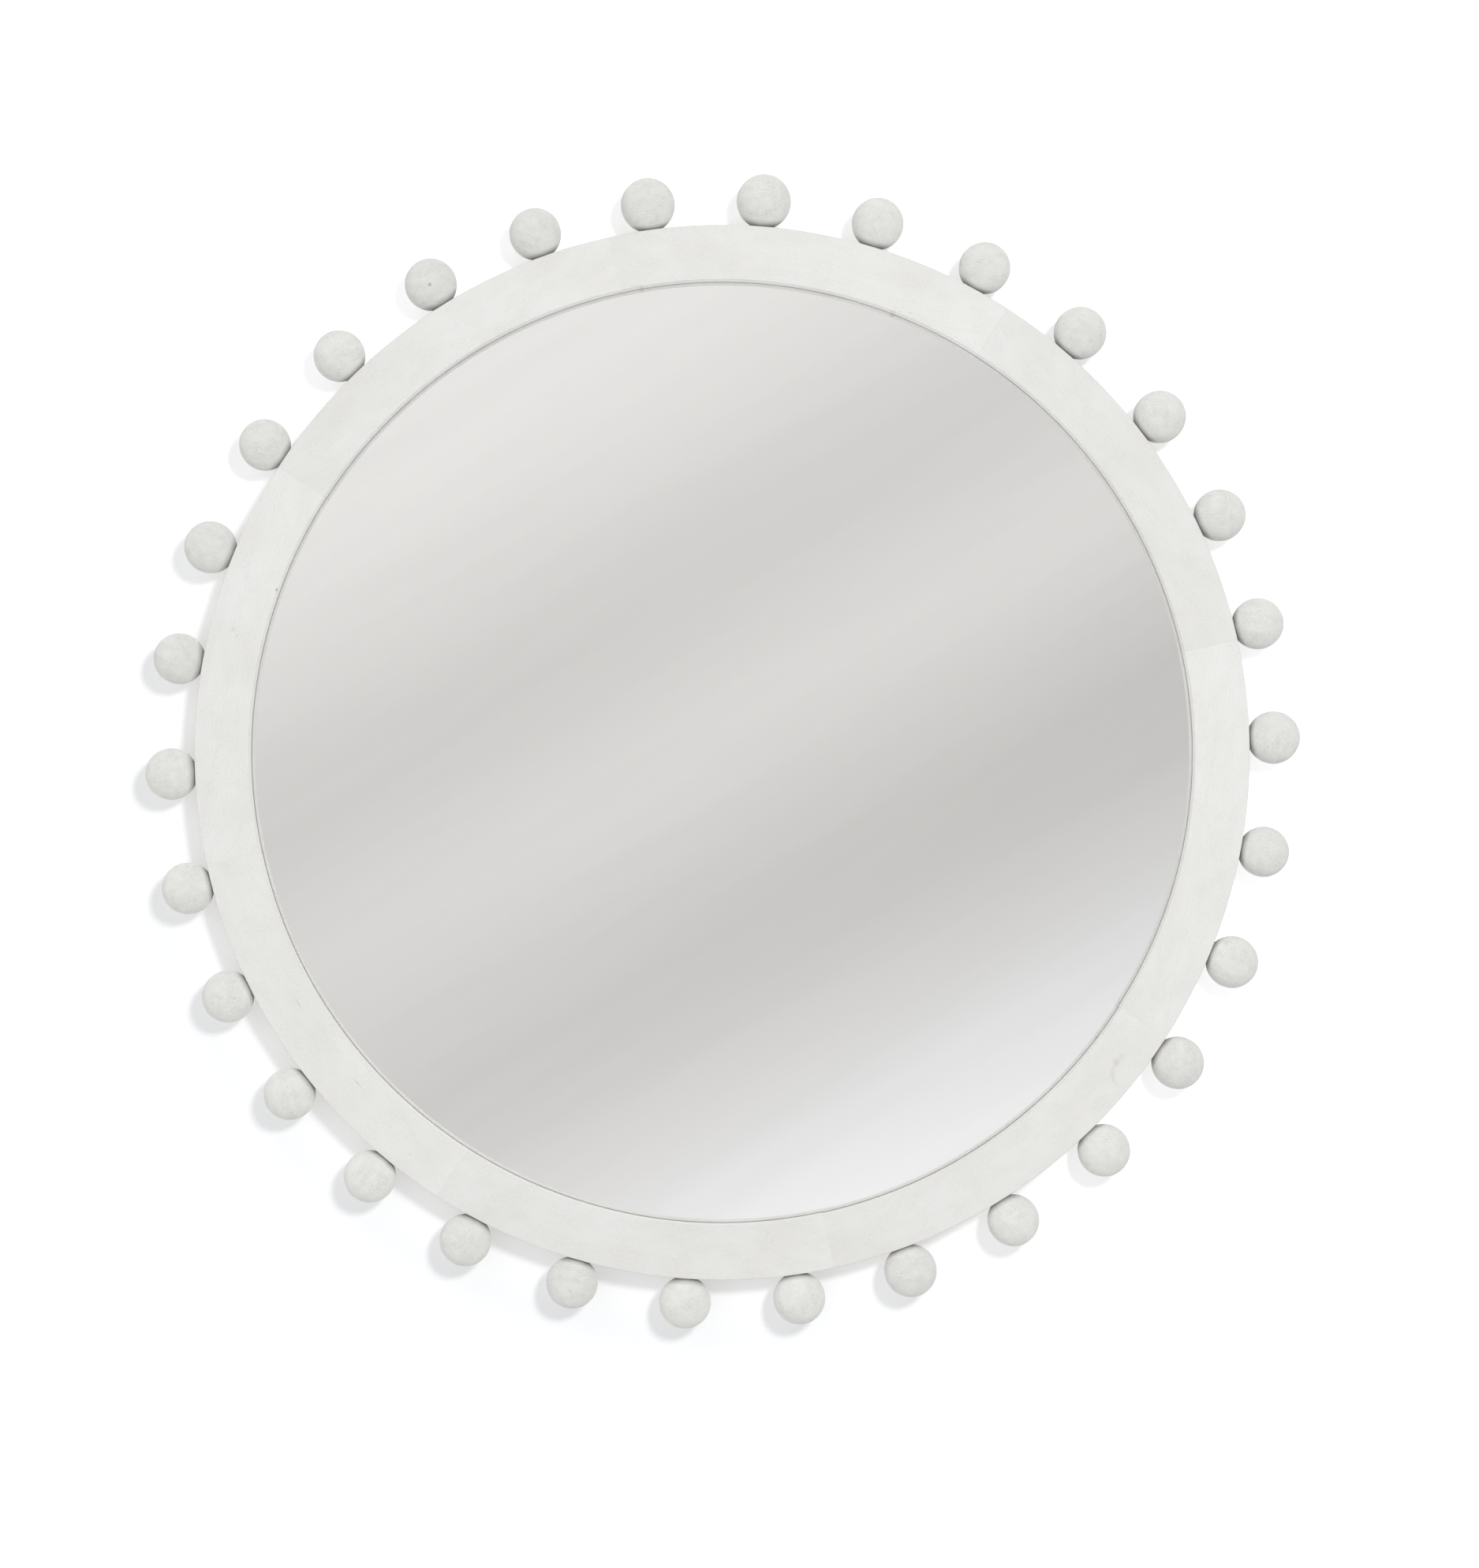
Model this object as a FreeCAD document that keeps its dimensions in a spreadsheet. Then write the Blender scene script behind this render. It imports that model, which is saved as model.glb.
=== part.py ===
import FreeCAD, Part
import Sketcher
import math
import os
import re

# Round wall mirror in a ring of limed wood, with thirty turned wooden balls round its rim.
# Millimetres and degrees. The mirror faces -Y, +Z is up and the wall is the plane y = 0.
# The origin is the mirror's centre on the wall. Angles run counter-clockwise from +X, seen from the front.

SIZES = (
    ("ring_radius", 508, "outer edge of the flat ring, a 40 inch circle"),
    ("ring_width", 52.5, "from the rim in to the opening, cut from 2 inch stock and sanded"),
    ("lip_depth", 16, "from the ring's face back to the glass"),
    ("rabbet_width", 10, "ledge behind the lip that holds the glass"),
    ("edge_round", 1, "sanded rounding of the ring's edges"),
    ("segment_count", 8, "wooden segments glued end to end"),
    ("joint_angle", 12.3, "where the first glued end joint lies"),
    ("tenon_thickness", 8, "loose tenon across each end joint"),
    ("tenon_length", 40, "half of it in each segment"),
    ("tenon_margin", 3, "wood left on each side of the mortise"),
    ("glue_slack", 0.1, "play round a tenon"),
    ("glue_room", 1, "empty depth at the end of a glued hole"),
    ("ball_count", 30, "balls round the rim"),
    ("ball_radius", 25, "turned from 2 inch stock"),
    ("seat_depth", 0.5, "flat sanded on a ball where it meets the rim, just wider than its dowel"),
    ("ball_angle", 85.9, "the first ball, beside the top"),
    ("ball_drift", 0.4, "the balls were spaced by hand, and crowd together a little on one side"),
    ("ball_drift_peak", 211, "where the balls run furthest ahead of an even spacing"),
    ("dowel_radius", 4, "dowel between a ball and the rim"),
    ("dowel_in_ball", 20, "depth of the dowel in a ball, from its flat"),
    ("dowel_in_ring", 16, "depth of the dowel in the ring, from the rim"),
    ("dowel_slack", 0.05, "play round a dowel"),
    ("glass_thickness", 4, "mirror glass"),
    ("glass_play", 1, "room round the glass in its rabbet"),
    ("glass_arris", 0.4, "ground edge of the glass"),
    ("pad_thickness", 2, "foam between the glass and the back panel"),
    ("pad_length", 60, "along the rim"),
    ("pad_width", 20, "across it"),
    ("outer_pads", 12, "foam pads near the edge of the glass"),
    ("outer_pads_share", 0.88, "of the glass radius"),
    ("inner_pads", 6, "foam pads nearer the middle"),
    ("inner_pads_share", 0.42, "of the glass radius"),
    ("panel_thickness", 9, "back panel"),
    ("panel_setback", 12, "from the ring's edge in to the panel's edge"),
    ("panel_round", 0.8, "broken edge of the panel's back"),
    ("panel_screw_count", 16, "two to each segment"),
    ("wall_gap", 3, "between the balls and the wall"),
    ("screw_radius", 2, "all screws have the same shank"),
    ("screw_length", 20, "countersunk and pan head alike, under or with the head"),
    ("tip_length", 4, "pointed end"),
    ("tip_share", 0.2, "blunt end of the point, of the screw's radius"),
    ("screw_slack", 0.05, "play round a screw"),
    ("flat_head_radius", 4, "countersunk head"),
    ("flat_head_depth", 2.4, "of the countersink"),
    ("pan_head_radius", 3.8, "pan head"),
    ("pan_head_height", 2.2, "above what it holds"),
    ("pan_top_share", 0.7, "top of the pan head, of its radius"),
    ("driver_span", 4.4, "cross recess in a screw's head"),
    ("driver_width", 0.9, "of one slot of the cross"),
    ("driver_depth", 1.4, "below the top of the head"),
    ("bumper_radius", 8, "rubber bumper between the panel and the wall"),
    ("bumper_round", 1, "rounding of the face that meets the wall"),
    ("bumper_recess_radius", 4.8, "hole that hides the bumper's screw head"),
    ("bumper_floor", 4, "rubber under the screw head"),
    ("bumper_angle", 38, "each side of straight up and straight down"),
    ("hanger_angle", 27, "where a hanger is screwed on, above the horizontal"),
    ("strap_width", 16, "folded steel strap of a D-ring hanger"),
    ("strap_gauge", 1.2, "one layer of the strap"),
    ("strap_length", 30, "from the pivot to the lower screw"),
    ("strap_hole_pitch", 20, "between the strap's two screws"),
    ("wire_radius", 1.6, "wire of the D-ring"),
    ("pivot_slack", 0.05, "running play of the wire in its knuckle"),
    ("eye_width", 20, "clear width of the D-ring"),
    ("eye_height", 21, "clear height of the D-ring"),
    ("eye_corner", 3, "bend at the foot of the D-ring, on the wire's centre line"),
    ("eye_bow", 10, "bend at the top of the D-ring, on the wire's centre line"),
)

# Places that follow from the sizes: depths are y values, and the wall is y = 0.
PLACES = (
    ("ring_thickness", "lip_depth + glass_thickness + pad_thickness"),
    ("bumper_thickness", "ball_radius + wall_gap - ring_thickness / 2 - panel_thickness"),
    ("panel_back", "-bumper_thickness"),
    ("ring_back", "panel_back - panel_thickness"),
    ("glass_back", "ring_back - pad_thickness"),
    ("lip_back", "glass_back - glass_thickness"),
    ("ring_front", "lip_back - lip_depth"),
    ("ring_middle", "(ring_front + ring_back) / 2"),
    ("opening_radius", "ring_radius - ring_width"),
    ("rabbet_radius", "opening_radius + rabbet_width"),
    ("glass_radius", "rabbet_radius - glass_play"),
    ("panel_radius", "ring_radius - panel_setback"),
    ("screw_circle", "(rabbet_radius + panel_radius) / 2"),
    ("segment_sweep", "360 / segment_count"),
    ("mortise_inner", "rabbet_radius + tenon_margin"),
    ("mortise_outer", "ring_radius - dowel_in_ring - glue_room - tenon_margin"),
    ("mortise_middle", "(mortise_inner + mortise_outer) / 2"),
    ("mortise_width", "mortise_outer - mortise_inner"),
    ("shank_length", "screw_length - tip_length"),
    ("bumper_bore", "screw_radius + screw_slack"),
    ("bumper_seat", "panel_back + bumper_floor"),
    ("strap_face", "panel_back + 2 * strap_gauge"),
    ("knuckle_radius", "wire_radius + pivot_slack + strap_gauge"),
    ("eye_side", "eye_width / 2 + wire_radius"),
    ("eye_top", "eye_height + 2 * wire_radius"),
)

UP = FreeCAD.Vector(0, 0, 1)
RADIAL = FreeCAD.Vector(1, 0, 0)
TO_FRONT = FreeCAD.Vector(0, -1, 0)
TO_WALL = FreeCAD.Vector(0, 1, 0)
FULL_TURN = 360.0
QUARTER_TURN = 90.0

doc = FreeCAD.newDocument("wall_mirror")
sheet = doc.addObject("Spreadsheet::Sheet", "sizes")
NAMES = [row[0] for row in SIZES + PLACES]
KEPT = []


def fill_sheet():
    """Writes each size as a plain number, and each place as a formula of the sizes."""
    for row, entry in enumerate(SIZES + PLACES, start=1):
        alias, content = entry[0], entry[1]
        sheet.set(f"A{row}", alias)
        sheet.set(f"B{row}", f"={content}" if row > len(SIZES) else str(content))
        sheet.setAlias(f"B{row}", alias)
        if row <= len(SIZES):
            sheet.set(f"C{row}", entry[2])
    doc.recompute()


def size(alias):
    """The value of a named size or place."""
    return float(sheet.get(alias))


def count(alias):
    """A named count as a whole number."""
    return int(round(size(alias)))


def bound(formula):
    """A formula of named sizes, written so that another object can read the sheet."""
    return re.sub(r"[a-z_]+", lambda word: f"sizes.{word[0]}" if word[0] in NAMES else word[0], formula)


def on_ring(angle, radius=0.0, depth=0.0):
    """A local frame on the ring: X points outward, Y to the wall and Z along the rim."""
    turn = math.radians(angle)
    place = FreeCAD.Vector(radius * math.cos(turn), depth, radius * math.sin(turn))
    return FreeCAD.Placement(place, FreeCAD.Rotation(TO_FRONT, angle))


def shift(x=0.0, y=0.0, z=0.0, axis=UP):
    """A move, with the piece's own Z axis laid along another axis."""
    return FreeCAD.Placement(FreeCAD.Vector(x, y, z), FreeCAD.Rotation(UP, axis))


def primitive(kind, name, place=None, **formulas):
    """A plain solid whose sizes are bound to the sheet."""
    solid = doc.addObject(f"Part::{kind}", name)
    for key, formula in formulas.items():
        solid.setExpression(key, bound(formula))
    if place is not None:
        solid.Placement = place
    return solid


def joined(name, solids):
    """Several solids fused into one."""
    fuse = doc.addObject("Part::MultiFuse", name)
    fuse.Shapes = solids
    fuse.Refine = True
    return fuse


def cut(name, base, tool):
    """One solid less another."""
    rest = doc.addObject("Part::Cut", name)
    rest.Base = base
    rest.Tool = tool
    return rest


def copies(name, master, places):
    """The same piece at several places, as one group of separate solids."""
    links = []
    for number, place in enumerate(places, start=1):
        link = doc.addObject("App::Link", f"{name}_{number}")
        link.LinkedObject = master
        link.LinkTransform = True
        link.Placement = place
        links.append(link)
    group = doc.addObject("Part::Compound", name)
    group.Links = links
    return group


def keep(piece, label, place=None):
    """Marks a finished sub-part, names it and puts it in its place."""
    piece.Label = label
    if place is not None:
        piece.Placement = place
    KEPT.append(piece)
    return piece


def origin_plane(body, role):
    """One of a body's own origin planes."""
    return next(feature for feature in body.Origin.OriginFeatures if feature.Role == role)


def new_sketch(body, name, role):
    """An empty sketch on one of a body's origin planes."""
    sketch = body.newObject("Sketcher::SketchObject", name)
    sketch.AttachmentSupport = [(origin_plane(body, role), "")]
    sketch.MapMode = "FlatFace"
    return sketch


def signed(alias):
    """The number behind an alias that may carry a minus sign."""
    return -size(alias[1:]) if alias.startswith("-") else size(alias)


def hold(sketch, kind, alias, *geometry):
    """Holds a sketch's geometry at a named size."""
    index = sketch.addConstraint(Sketcher.Constraint(kind, *geometry, signed(alias)))
    sketch.renameConstraint(index, f"{kind.lower()}_{index}")
    sketch.setExpression(f"Constraints.{kind.lower()}_{index}", bound(alias))


def outline(body, name, role, corners):
    """A closed outline of level and upright sides.

    A corner is a pair of aliases, or 0 for a coordinate on an axis. A third alias rounds the corner.
    Each side is held by the coordinate that it keeps, and each rounding by its radius.
    """
    sketch = new_sketch(body, name, role)
    points = []
    for corner in corners:
        level, upright = (signed(alias) if alias else 0.0 for alias in corner[:2])
        points.append(FreeCAD.Vector(level, upright, 0))
    total = len(points)
    heads, tails = [], []
    for index in range(total):
        back = (points[index - 1] - points[index]).normalize()
        ahead = (points[(index + 1) % total] - points[index]).normalize()
        radius = signed(corners[index][2]) if len(corners[index]) > 2 else 0.0
        tails.append(points[index] + back * radius)
        heads.append(points[index] + ahead * radius)
    sides = []
    for index in range(total):
        after = (index + 1) % total
        side = sketch.addGeometry(Part.LineSegment(heads[index], tails[after]), False)
        sides.append(side)
        is_level = abs(points[after].y - points[index].y) < abs(points[after].x - points[index].x)
        kept = corners[index][1] if is_level else corners[index][0]
        sketch.addConstraint(Sketcher.Constraint("Horizontal" if is_level else "Vertical", side))
        if kept:
            hold(sketch, "DistanceY" if is_level else "DistanceX", kept, side, 1)
        else:
            sketch.addConstraint(Sketcher.Constraint("PointOnObject", side, 1, -1 if is_level else -2))
    for index in range(total):
        before, after = sides[index - 1], sides[index]
        if len(corners[index]) < 3:
            sketch.addConstraint(Sketcher.Constraint("Coincident", before, 2, after, 1))
            continue
        radius = signed(corners[index][2])
        middle = tails[index] + heads[index] - points[index]
        nearest = middle + (points[index] - middle).normalize() * radius
        arc = sketch.addGeometry(Part.Arc(tails[index], nearest, heads[index]), False)
        curve = sketch.Geometry[arc]
        first = 1 if curve.StartPoint.distanceToPoint(tails[index]) < radius / 2 else 2
        sketch.addConstraint(Sketcher.Constraint("Tangent", before, 2, arc, first))
        sketch.addConstraint(Sketcher.Constraint("Tangent", after, 1, arc, 3 - first))
        hold(sketch, "Radius", corners[index][2], arc)
    return sketch


def turned(name, corners, angle=None):
    """A body made by turning an outline about the mirror's axis, through a full turn or a share of one."""
    body = doc.addObject("PartDesign::Body", name)
    section = outline(body, f"{name}_section", "XY_Plane", corners)
    turn = body.newObject("PartDesign::Revolution", f"{name}_turn")
    turn.Profile = section
    turn.ReferenceAxis = (section, ["V_Axis"])
    if angle is None:
        turn.Angle = FULL_TURN
    else:
        turn.Midplane = True
        turn.setExpression("Angle", bound(angle))
    section.Visibility = False
    return body


def screw(name, is_flat):
    """A wood screw that points to the front, with the underside of its seat at the origin.

    A flat head lies level with its origin. A pan head stands out of it.
    """
    shank = primitive("Cylinder", f"{name}_shank", shift(axis=TO_FRONT),
                      Radius="screw_radius", Height="shank_length")
    tip = primitive("Cone", f"{name}_tip", shift(y=-size("shank_length"), axis=TO_FRONT),
                    Radius1="screw_radius", Radius2="screw_radius * tip_share", Height="tip_length")
    if is_flat:
        top = 0.0
        head = primitive("Cone", f"{name}_head", shift(y=-size("flat_head_depth"), axis=TO_WALL),
                         Radius1="screw_radius", Radius2="flat_head_radius", Height="flat_head_depth")
    else:
        top = size("pan_head_height")
        head = primitive("Cone", f"{name}_head", shift(axis=TO_WALL), Radius1="pan_head_radius",
                         Radius2="pan_head_radius * pan_top_share", Height="pan_head_height")
    floor = top - size("driver_depth")
    slots = []
    for long_side, short_side in (("driver_span", "driver_width"), ("driver_width", "driver_span")):
        corner = shift(-size(long_side) / 2, floor, -size(short_side) / 2)
        slots.append(primitive("Box", f"{name}_slot", corner,
                               Length=long_side, Width="driver_depth", Height=short_side))
    blank = joined(f"{name}_blank", [shank, tip, head])
    return cut(name, blank, joined(f"{name}_cross", slots))


def screw_hole(name, has_countersink):
    """The hole for a screw: its shank with a little play, and its countersink."""
    bore = primitive("Cylinder", f"{name}_bore", shift(axis=TO_FRONT),
                     Radius="screw_radius + screw_slack", Height="screw_length + glue_room")
    if not has_countersink:
        return bore
    mouth = primitive("Cone", f"{name}_mouth", shift(y=-size("flat_head_depth"), axis=TO_WALL),
                      Radius1="screw_radius + screw_slack", Radius2="flat_head_radius + screw_slack",
                      Height="flat_head_depth")
    return joined(name, [bore, mouth])


def flat_tenon(name, slack, room):
    """A loose tenon with round edges, along Z and centred on the origin, or the mortise that it fills."""
    thick = f"tenon_thickness + 2 * {slack}" if slack else "tenon_thickness"
    wide = "mortise_width - tenon_thickness"
    tall = f"tenon_length + 2 * {room}" if room else "tenon_length"
    half_thick = size("tenon_thickness") / 2 + (size(slack) if slack else 0.0)
    half_wide = (size("mortise_width") - size("tenon_thickness")) / 2
    foot = -size("tenon_length") / 2 - (size(room) if room else 0.0)
    core = primitive("Box", f"{name}_core", shift(-half_wide, -half_thick, foot),
                     Length=wide, Width=thick, Height=tall)
    edges = [primitive("Cylinder", f"{name}_edge", shift(side * half_wide, 0, foot),
                       Radius=f"({thick}) / 2", Height=tall) for side in (-1, 1)]
    return joined(name, [core] + edges)


def even_angles(total, first=0.0):
    """Angles spread evenly round the mirror."""
    return [first + FULL_TURN * index / total for index in range(total)]


def ball_angles():
    """Where the balls sit, clockwise from the top: an even spacing plus the drift of a hand layout."""
    angles = []
    for even in even_angles(count("ball_count")):
        angle = size("ball_angle") - even
        ahead = math.cos(math.radians(angle - size("ball_drift_peak")))
        angles.append(angle + size("ball_drift") * ahead)
    return angles


def joint_angles():
    """Where the segments' end joints lie."""
    return even_angles(count("segment_count"), size("joint_angle"))


def ball_places():
    """Where each ball's flat meets the rim, halfway through the ring."""
    return [on_ring(angle, size("ring_radius"), size("ring_middle")) for angle in ball_angles()]


def tenon_places():
    """The middle of each end joint's tenon."""
    return [on_ring(angle, size("mortise_middle"), size("ring_middle")) for angle in joint_angles()]


def panel_screw_places():
    """The panel's screws, spread so that none meets an end joint."""
    step = FULL_TURN / count("panel_screw_count")
    angles = even_angles(count("panel_screw_count"), size("joint_angle") + step / 2)
    return [on_ring(angle, size("screw_circle"), size("panel_back")) for angle in angles]


def bumper_angles():
    """Two bumpers near the top and two near the bottom."""
    return [middle + side * size("bumper_angle")
            for middle in (QUARTER_TURN, FULL_TURN - QUARTER_TURN) for side in (-1, 1)]


def bumper_places(depth):
    """The middle of each bumper, at one depth."""
    return [on_ring(angle, size("screw_circle"), depth) for angle in bumper_angles()]


def hanger_pivot(side):
    """The hinge line of a D-ring: its screws are in the solid wood beside the rabbet."""
    turn = math.radians(size("hanger_angle"))
    above = size("strap_length") - size("strap_hole_pitch") / 2
    return FreeCAD.Vector(side * size("screw_circle") * math.cos(turn),
                          size("panel_back") + size("knuckle_radius"),
                          size("screw_circle") * math.sin(turn) + above)


def strap_screw_places(face):
    """The four screws of the two hangers, with their seats at one depth."""
    places = []
    for side in (-1, 1):
        pivot = hanger_pivot(side)
        for drop in (size("strap_length"), size("strap_length") - size("strap_hole_pitch")):
            places.append(shift(pivot.x, face, pivot.z - drop, axis=UP))
    return places


def make_ring_holes():
    """Everything that is drilled or mortised into the ring before it is glued up."""
    floor = shift(-size("dowel_in_ring") - size("glue_room"), axis=RADIAL)
    dowel_hole = primitive("Cylinder", "dowel_hole", floor, Radius="dowel_radius + dowel_slack",
                           Height="dowel_in_ring + glue_room + seat_depth")
    mortise = flat_tenon("mortise", "glue_slack", "glue_room")
    return [copies("dowel_holes", dowel_hole, ball_places()), copies("mortises", mortise, tenon_places())]


def make_screw_holes():
    """The holes of every screw through the back panel into the ring."""
    flat_hole = screw_hole("flat_hole", True)
    plain_hole = screw_hole("plain_hole", False)
    plain_places = bumper_places(size("bumper_seat")) + strap_screw_places(size("strap_face"))
    return [copies("panel_screw_holes", flat_hole, panel_screw_places()),
            copies("other_screw_holes", plain_hole, plain_places)]


def make_segments(holes):
    """The ring: wooden segments with a rabbet behind the lip, glued end to end."""
    corners = [("opening_radius", "ring_front", "edge_round"), ("ring_radius", "ring_front", "edge_round"),
               ("ring_radius", "ring_back", "edge_round"), ("rabbet_radius", "ring_back"),
               ("rabbet_radius", "lip_back"), ("opening_radius", "lip_back")]
    tool = doc.addObject("Part::Compound", "ring_holes")
    tool.Links = holes
    for number, angle in enumerate(joint_angles(), start=1):
        blank = turned(f"segment_blank_{number}", corners, "segment_sweep")
        blank.Placement = on_ring(angle + size("segment_sweep") / 2)
        keep(cut(f"segment_{number}", blank, tool), f"frame_segment_{number}")


def make_tenons():
    """The loose tenons inside the end joints."""
    keep(copies("tenon_group", flat_tenon("tenon", "", ""), tenon_places()), "segment_tenons")


def make_balls():
    """The turned balls, each with a flat against the rim and a hole for its dowel."""
    for number, place in enumerate(ball_places(), start=1):
        name = f"ball_{number:02d}"
        middle = shift(size("ball_radius") - size("seat_depth"), axis=RADIAL)
        sphere = primitive("Sphere", f"{name}_turning", middle, Radius="ball_radius",
                           Angle1="-asin(1 - seat_depth / ball_radius)")
        hole = primitive("Cylinder", f"{name}_hole", shift(-size("seat_depth"), axis=RADIAL),
                         Radius="dowel_radius + dowel_slack",
                         Height="dowel_in_ball + glue_room + seat_depth")
        keep(cut(f"{name}_bored", sphere, hole), name, place)


def make_dowels():
    """The dowels that hold the balls to the rim."""
    dowel = primitive("Cylinder", "dowel", shift(-size("dowel_in_ring"), axis=RADIAL),
                      Radius="dowel_radius", Height="dowel_in_ring + dowel_in_ball")
    keep(copies("dowel_group", dowel, ball_places()), "ball_dowels")


def make_glass():
    """The mirror glass, which lies against the back of the lip."""
    corners = [(0, "lip_back"), ("glass_radius", "lip_back", "glass_arris"),
               ("glass_radius", "glass_back", "glass_arris"), (0, "glass_back")]
    keep(turned("glass", corners), "mirror_glass")


def make_pads():
    """Foam pads that press the glass against the lip."""
    pad = primitive("Box", "foam_pad", shift(-size("pad_width") / 2, 0, -size("pad_length") / 2),
                    Length="pad_width", Width="pad_thickness", Height="pad_length")
    places = []
    for total, share in (("outer_pads", "outer_pads_share"), ("inner_pads", "inner_pads_share")):
        radius = size("glass_radius") * size(share)
        places += [on_ring(angle, radius, size("glass_back")) for angle in even_angles(count(total))]
    keep(copies("pad_group", pad, places), "foam_pads")


def make_panel(holes):
    """The back panel, screwed to the ring."""
    corners = [(0, "ring_back"), ("panel_radius", "ring_back"),
               ("panel_radius", "panel_back", "panel_round"), (0, "panel_back")]
    tool = doc.addObject("Part::Compound", "panel_holes")
    tool.Links = holes
    keep(cut("panel", turned("panel_blank", corners), tool), "back_panel")


def make_bumpers():
    """Rubber bumpers that stand the mirror off the wall."""
    corners = [("bumper_bore", 0), ("bumper_radius", 0),
               ("bumper_radius", "bumper_thickness", "bumper_round"),
               ("bumper_recess_radius", "bumper_thickness"),
               ("bumper_recess_radius", "bumper_floor"), ("bumper_bore", "bumper_floor")]
    for number, place in enumerate(bumper_places(size("panel_back")), start=1):
        keep(turned(f"bumper_{number}", corners), f"wall_bumper_{number}", place)


def make_screws():
    """The screws of the panel, the bumpers and the hangers."""
    flat_screw = screw("flat_screw", True)
    pan_screw = screw("pan_screw", False)
    strap_places = strap_screw_places(size("strap_face"))
    keep(copies("panel_screw_group", flat_screw, panel_screw_places()), "panel_screws")
    keep(copies("bumper_screw_group", pan_screw, bumper_places(size("bumper_seat"))), "bumper_screws")
    keep(copies("hanger_screw_group", pan_screw, strap_places), "hanger_screws")


def make_strap(side, name):
    """A steel strap folded double round the foot of the D-ring, with two screw holes."""
    half, back = size("strap_width") / 2, -size("knuckle_radius")
    drop, pitch = size("strap_length"), size("strap_hole_pitch")
    plate = primitive("Box", f"{name}_plate", shift(-half, back, -drop),
                      Length="strap_width", Width="2 * strap_gauge", Height="strap_length")
    end = primitive("Cylinder", f"{name}_end", shift(0, back, -drop, TO_WALL),
                    Radius="strap_width / 2", Height="2 * strap_gauge")
    knuckle = primitive("Cylinder", f"{name}_knuckle", shift(-half, axis=RADIAL),
                        Radius="knuckle_radius", Height="strap_width")
    bore = primitive("Cylinder", f"{name}_bore", shift(-half, axis=RADIAL),
                     Radius="wire_radius + pivot_slack", Height="strap_width")
    holes = [primitive("Cylinder", f"{name}_hole", shift(0, back, -low, TO_WALL),
                       Radius="screw_radius + screw_slack", Height="2 * strap_gauge")
             for low in (drop, drop - pitch)]
    blank = joined(f"{name}_blank", [plate, end, knuckle])
    strap = cut(f"{name}_strap", blank, joined(f"{name}_openings", [bore] + holes))
    keep(strap, f"{name}_hanger_strap", FreeCAD.Placement(hanger_pivot(side), FreeCAD.Rotation()))


def make_loop(side, name):
    """The D-ring: one closed loop of wire, standing up from its pivot as it hangs on a wall hook."""
    body = doc.addObject("PartDesign::Body", f"{name}_loop")
    corners = [("-eye_side", 0, "eye_corner"), ("eye_side", 0, "eye_corner"),
               ("eye_side", "eye_top", "eye_bow"), ("-eye_side", "eye_top", "eye_bow")]
    path = outline(body, f"{name}_path", "XZ_Plane", corners)
    wire = new_sketch(body, f"{name}_wire", "YZ_Plane")
    circle = wire.addGeometry(Part.Circle(FreeCAD.Vector(0, 0, 0), UP, size("wire_radius")), False)
    wire.addConstraint(Sketcher.Constraint("Coincident", circle, 3, -1, 1))
    hold(wire, "Radius", "wire_radius", circle)
    pipe = body.newObject("PartDesign::AdditivePipe", f"{name}_bend")
    pipe.Profile = wire
    pipe.Spine = (path, [])
    keep(body, f"{name}_hanger_ring", FreeCAD.Placement(hanger_pivot(side), FreeCAD.Rotation()))


def check_document():
    """Stops if an object failed, or a finished piece is empty or broken."""
    for thing in doc.Objects:
        faults = [state for state in thing.State if state in ("Invalid", "Error")]
        if faults:
            raise RuntimeError(f"{thing.Label} is {faults}")
    for piece in KEPT:
        if piece.Shape.isNull() or not piece.Shape.isValid() or not piece.Shape.Solids:
            raise RuntimeError(f"{piece.Label} has no valid solid")


def write_parts():
    """Writes each piece to its own file, and prints its solids and volume."""
    os.makedirs("parts", exist_ok=True)
    for piece in KEPT:
        piece.Shape.exportStep(os.path.join("parts", f"{piece.Label}.step"))
        print(f"{piece.Label}: {len(piece.Shape.Solids)} solids, {piece.Shape.Volume:.1f} mm3")


fill_sheet()
ring_holes = make_ring_holes()
screw_holes = make_screw_holes()
make_segments(ring_holes + screw_holes)
make_tenons()
make_balls()
make_dowels()
make_glass()
make_pads()
make_panel(screw_holes)
make_bumpers()
make_screws()
for hanger_side, hanger_name in ((-1, "left"), (1, "right")):
    make_strap(hanger_side, hanger_name)
    make_loop(hanger_side, hanger_name)
doc.recompute()
check_document()
write_parts()
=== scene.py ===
import logging
import math
from dataclasses import dataclass, field
from enum import Enum

import bpy
import numpy as np
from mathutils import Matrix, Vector


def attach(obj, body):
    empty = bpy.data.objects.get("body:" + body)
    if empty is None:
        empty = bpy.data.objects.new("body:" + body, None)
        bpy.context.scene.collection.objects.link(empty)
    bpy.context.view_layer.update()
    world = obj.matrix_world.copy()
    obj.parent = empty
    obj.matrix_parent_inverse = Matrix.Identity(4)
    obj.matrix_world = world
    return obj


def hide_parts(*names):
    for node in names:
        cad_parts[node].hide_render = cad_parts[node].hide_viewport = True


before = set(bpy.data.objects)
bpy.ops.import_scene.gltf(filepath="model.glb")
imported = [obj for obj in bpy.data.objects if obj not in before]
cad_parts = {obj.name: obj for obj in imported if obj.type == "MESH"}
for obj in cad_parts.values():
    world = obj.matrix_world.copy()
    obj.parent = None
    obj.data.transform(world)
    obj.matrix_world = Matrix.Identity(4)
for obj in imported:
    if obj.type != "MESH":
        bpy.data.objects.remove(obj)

# Round wall mirror: a flat ring of limed wood with thirty turned balls, round a disc of mirror glass.
# Sizes are in millimetres and meshes in metres. The mirror faces -Y, +Z is up and the wall is y = 0.
# Angles are in degrees and run counter-clockwise from +X, seen from the front.

LOG = logging.getLogger("wall_mirror")
MM = 0.001
MIX_A, MIX_B, MIX_COLOUR = 6, 7, 2
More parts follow.
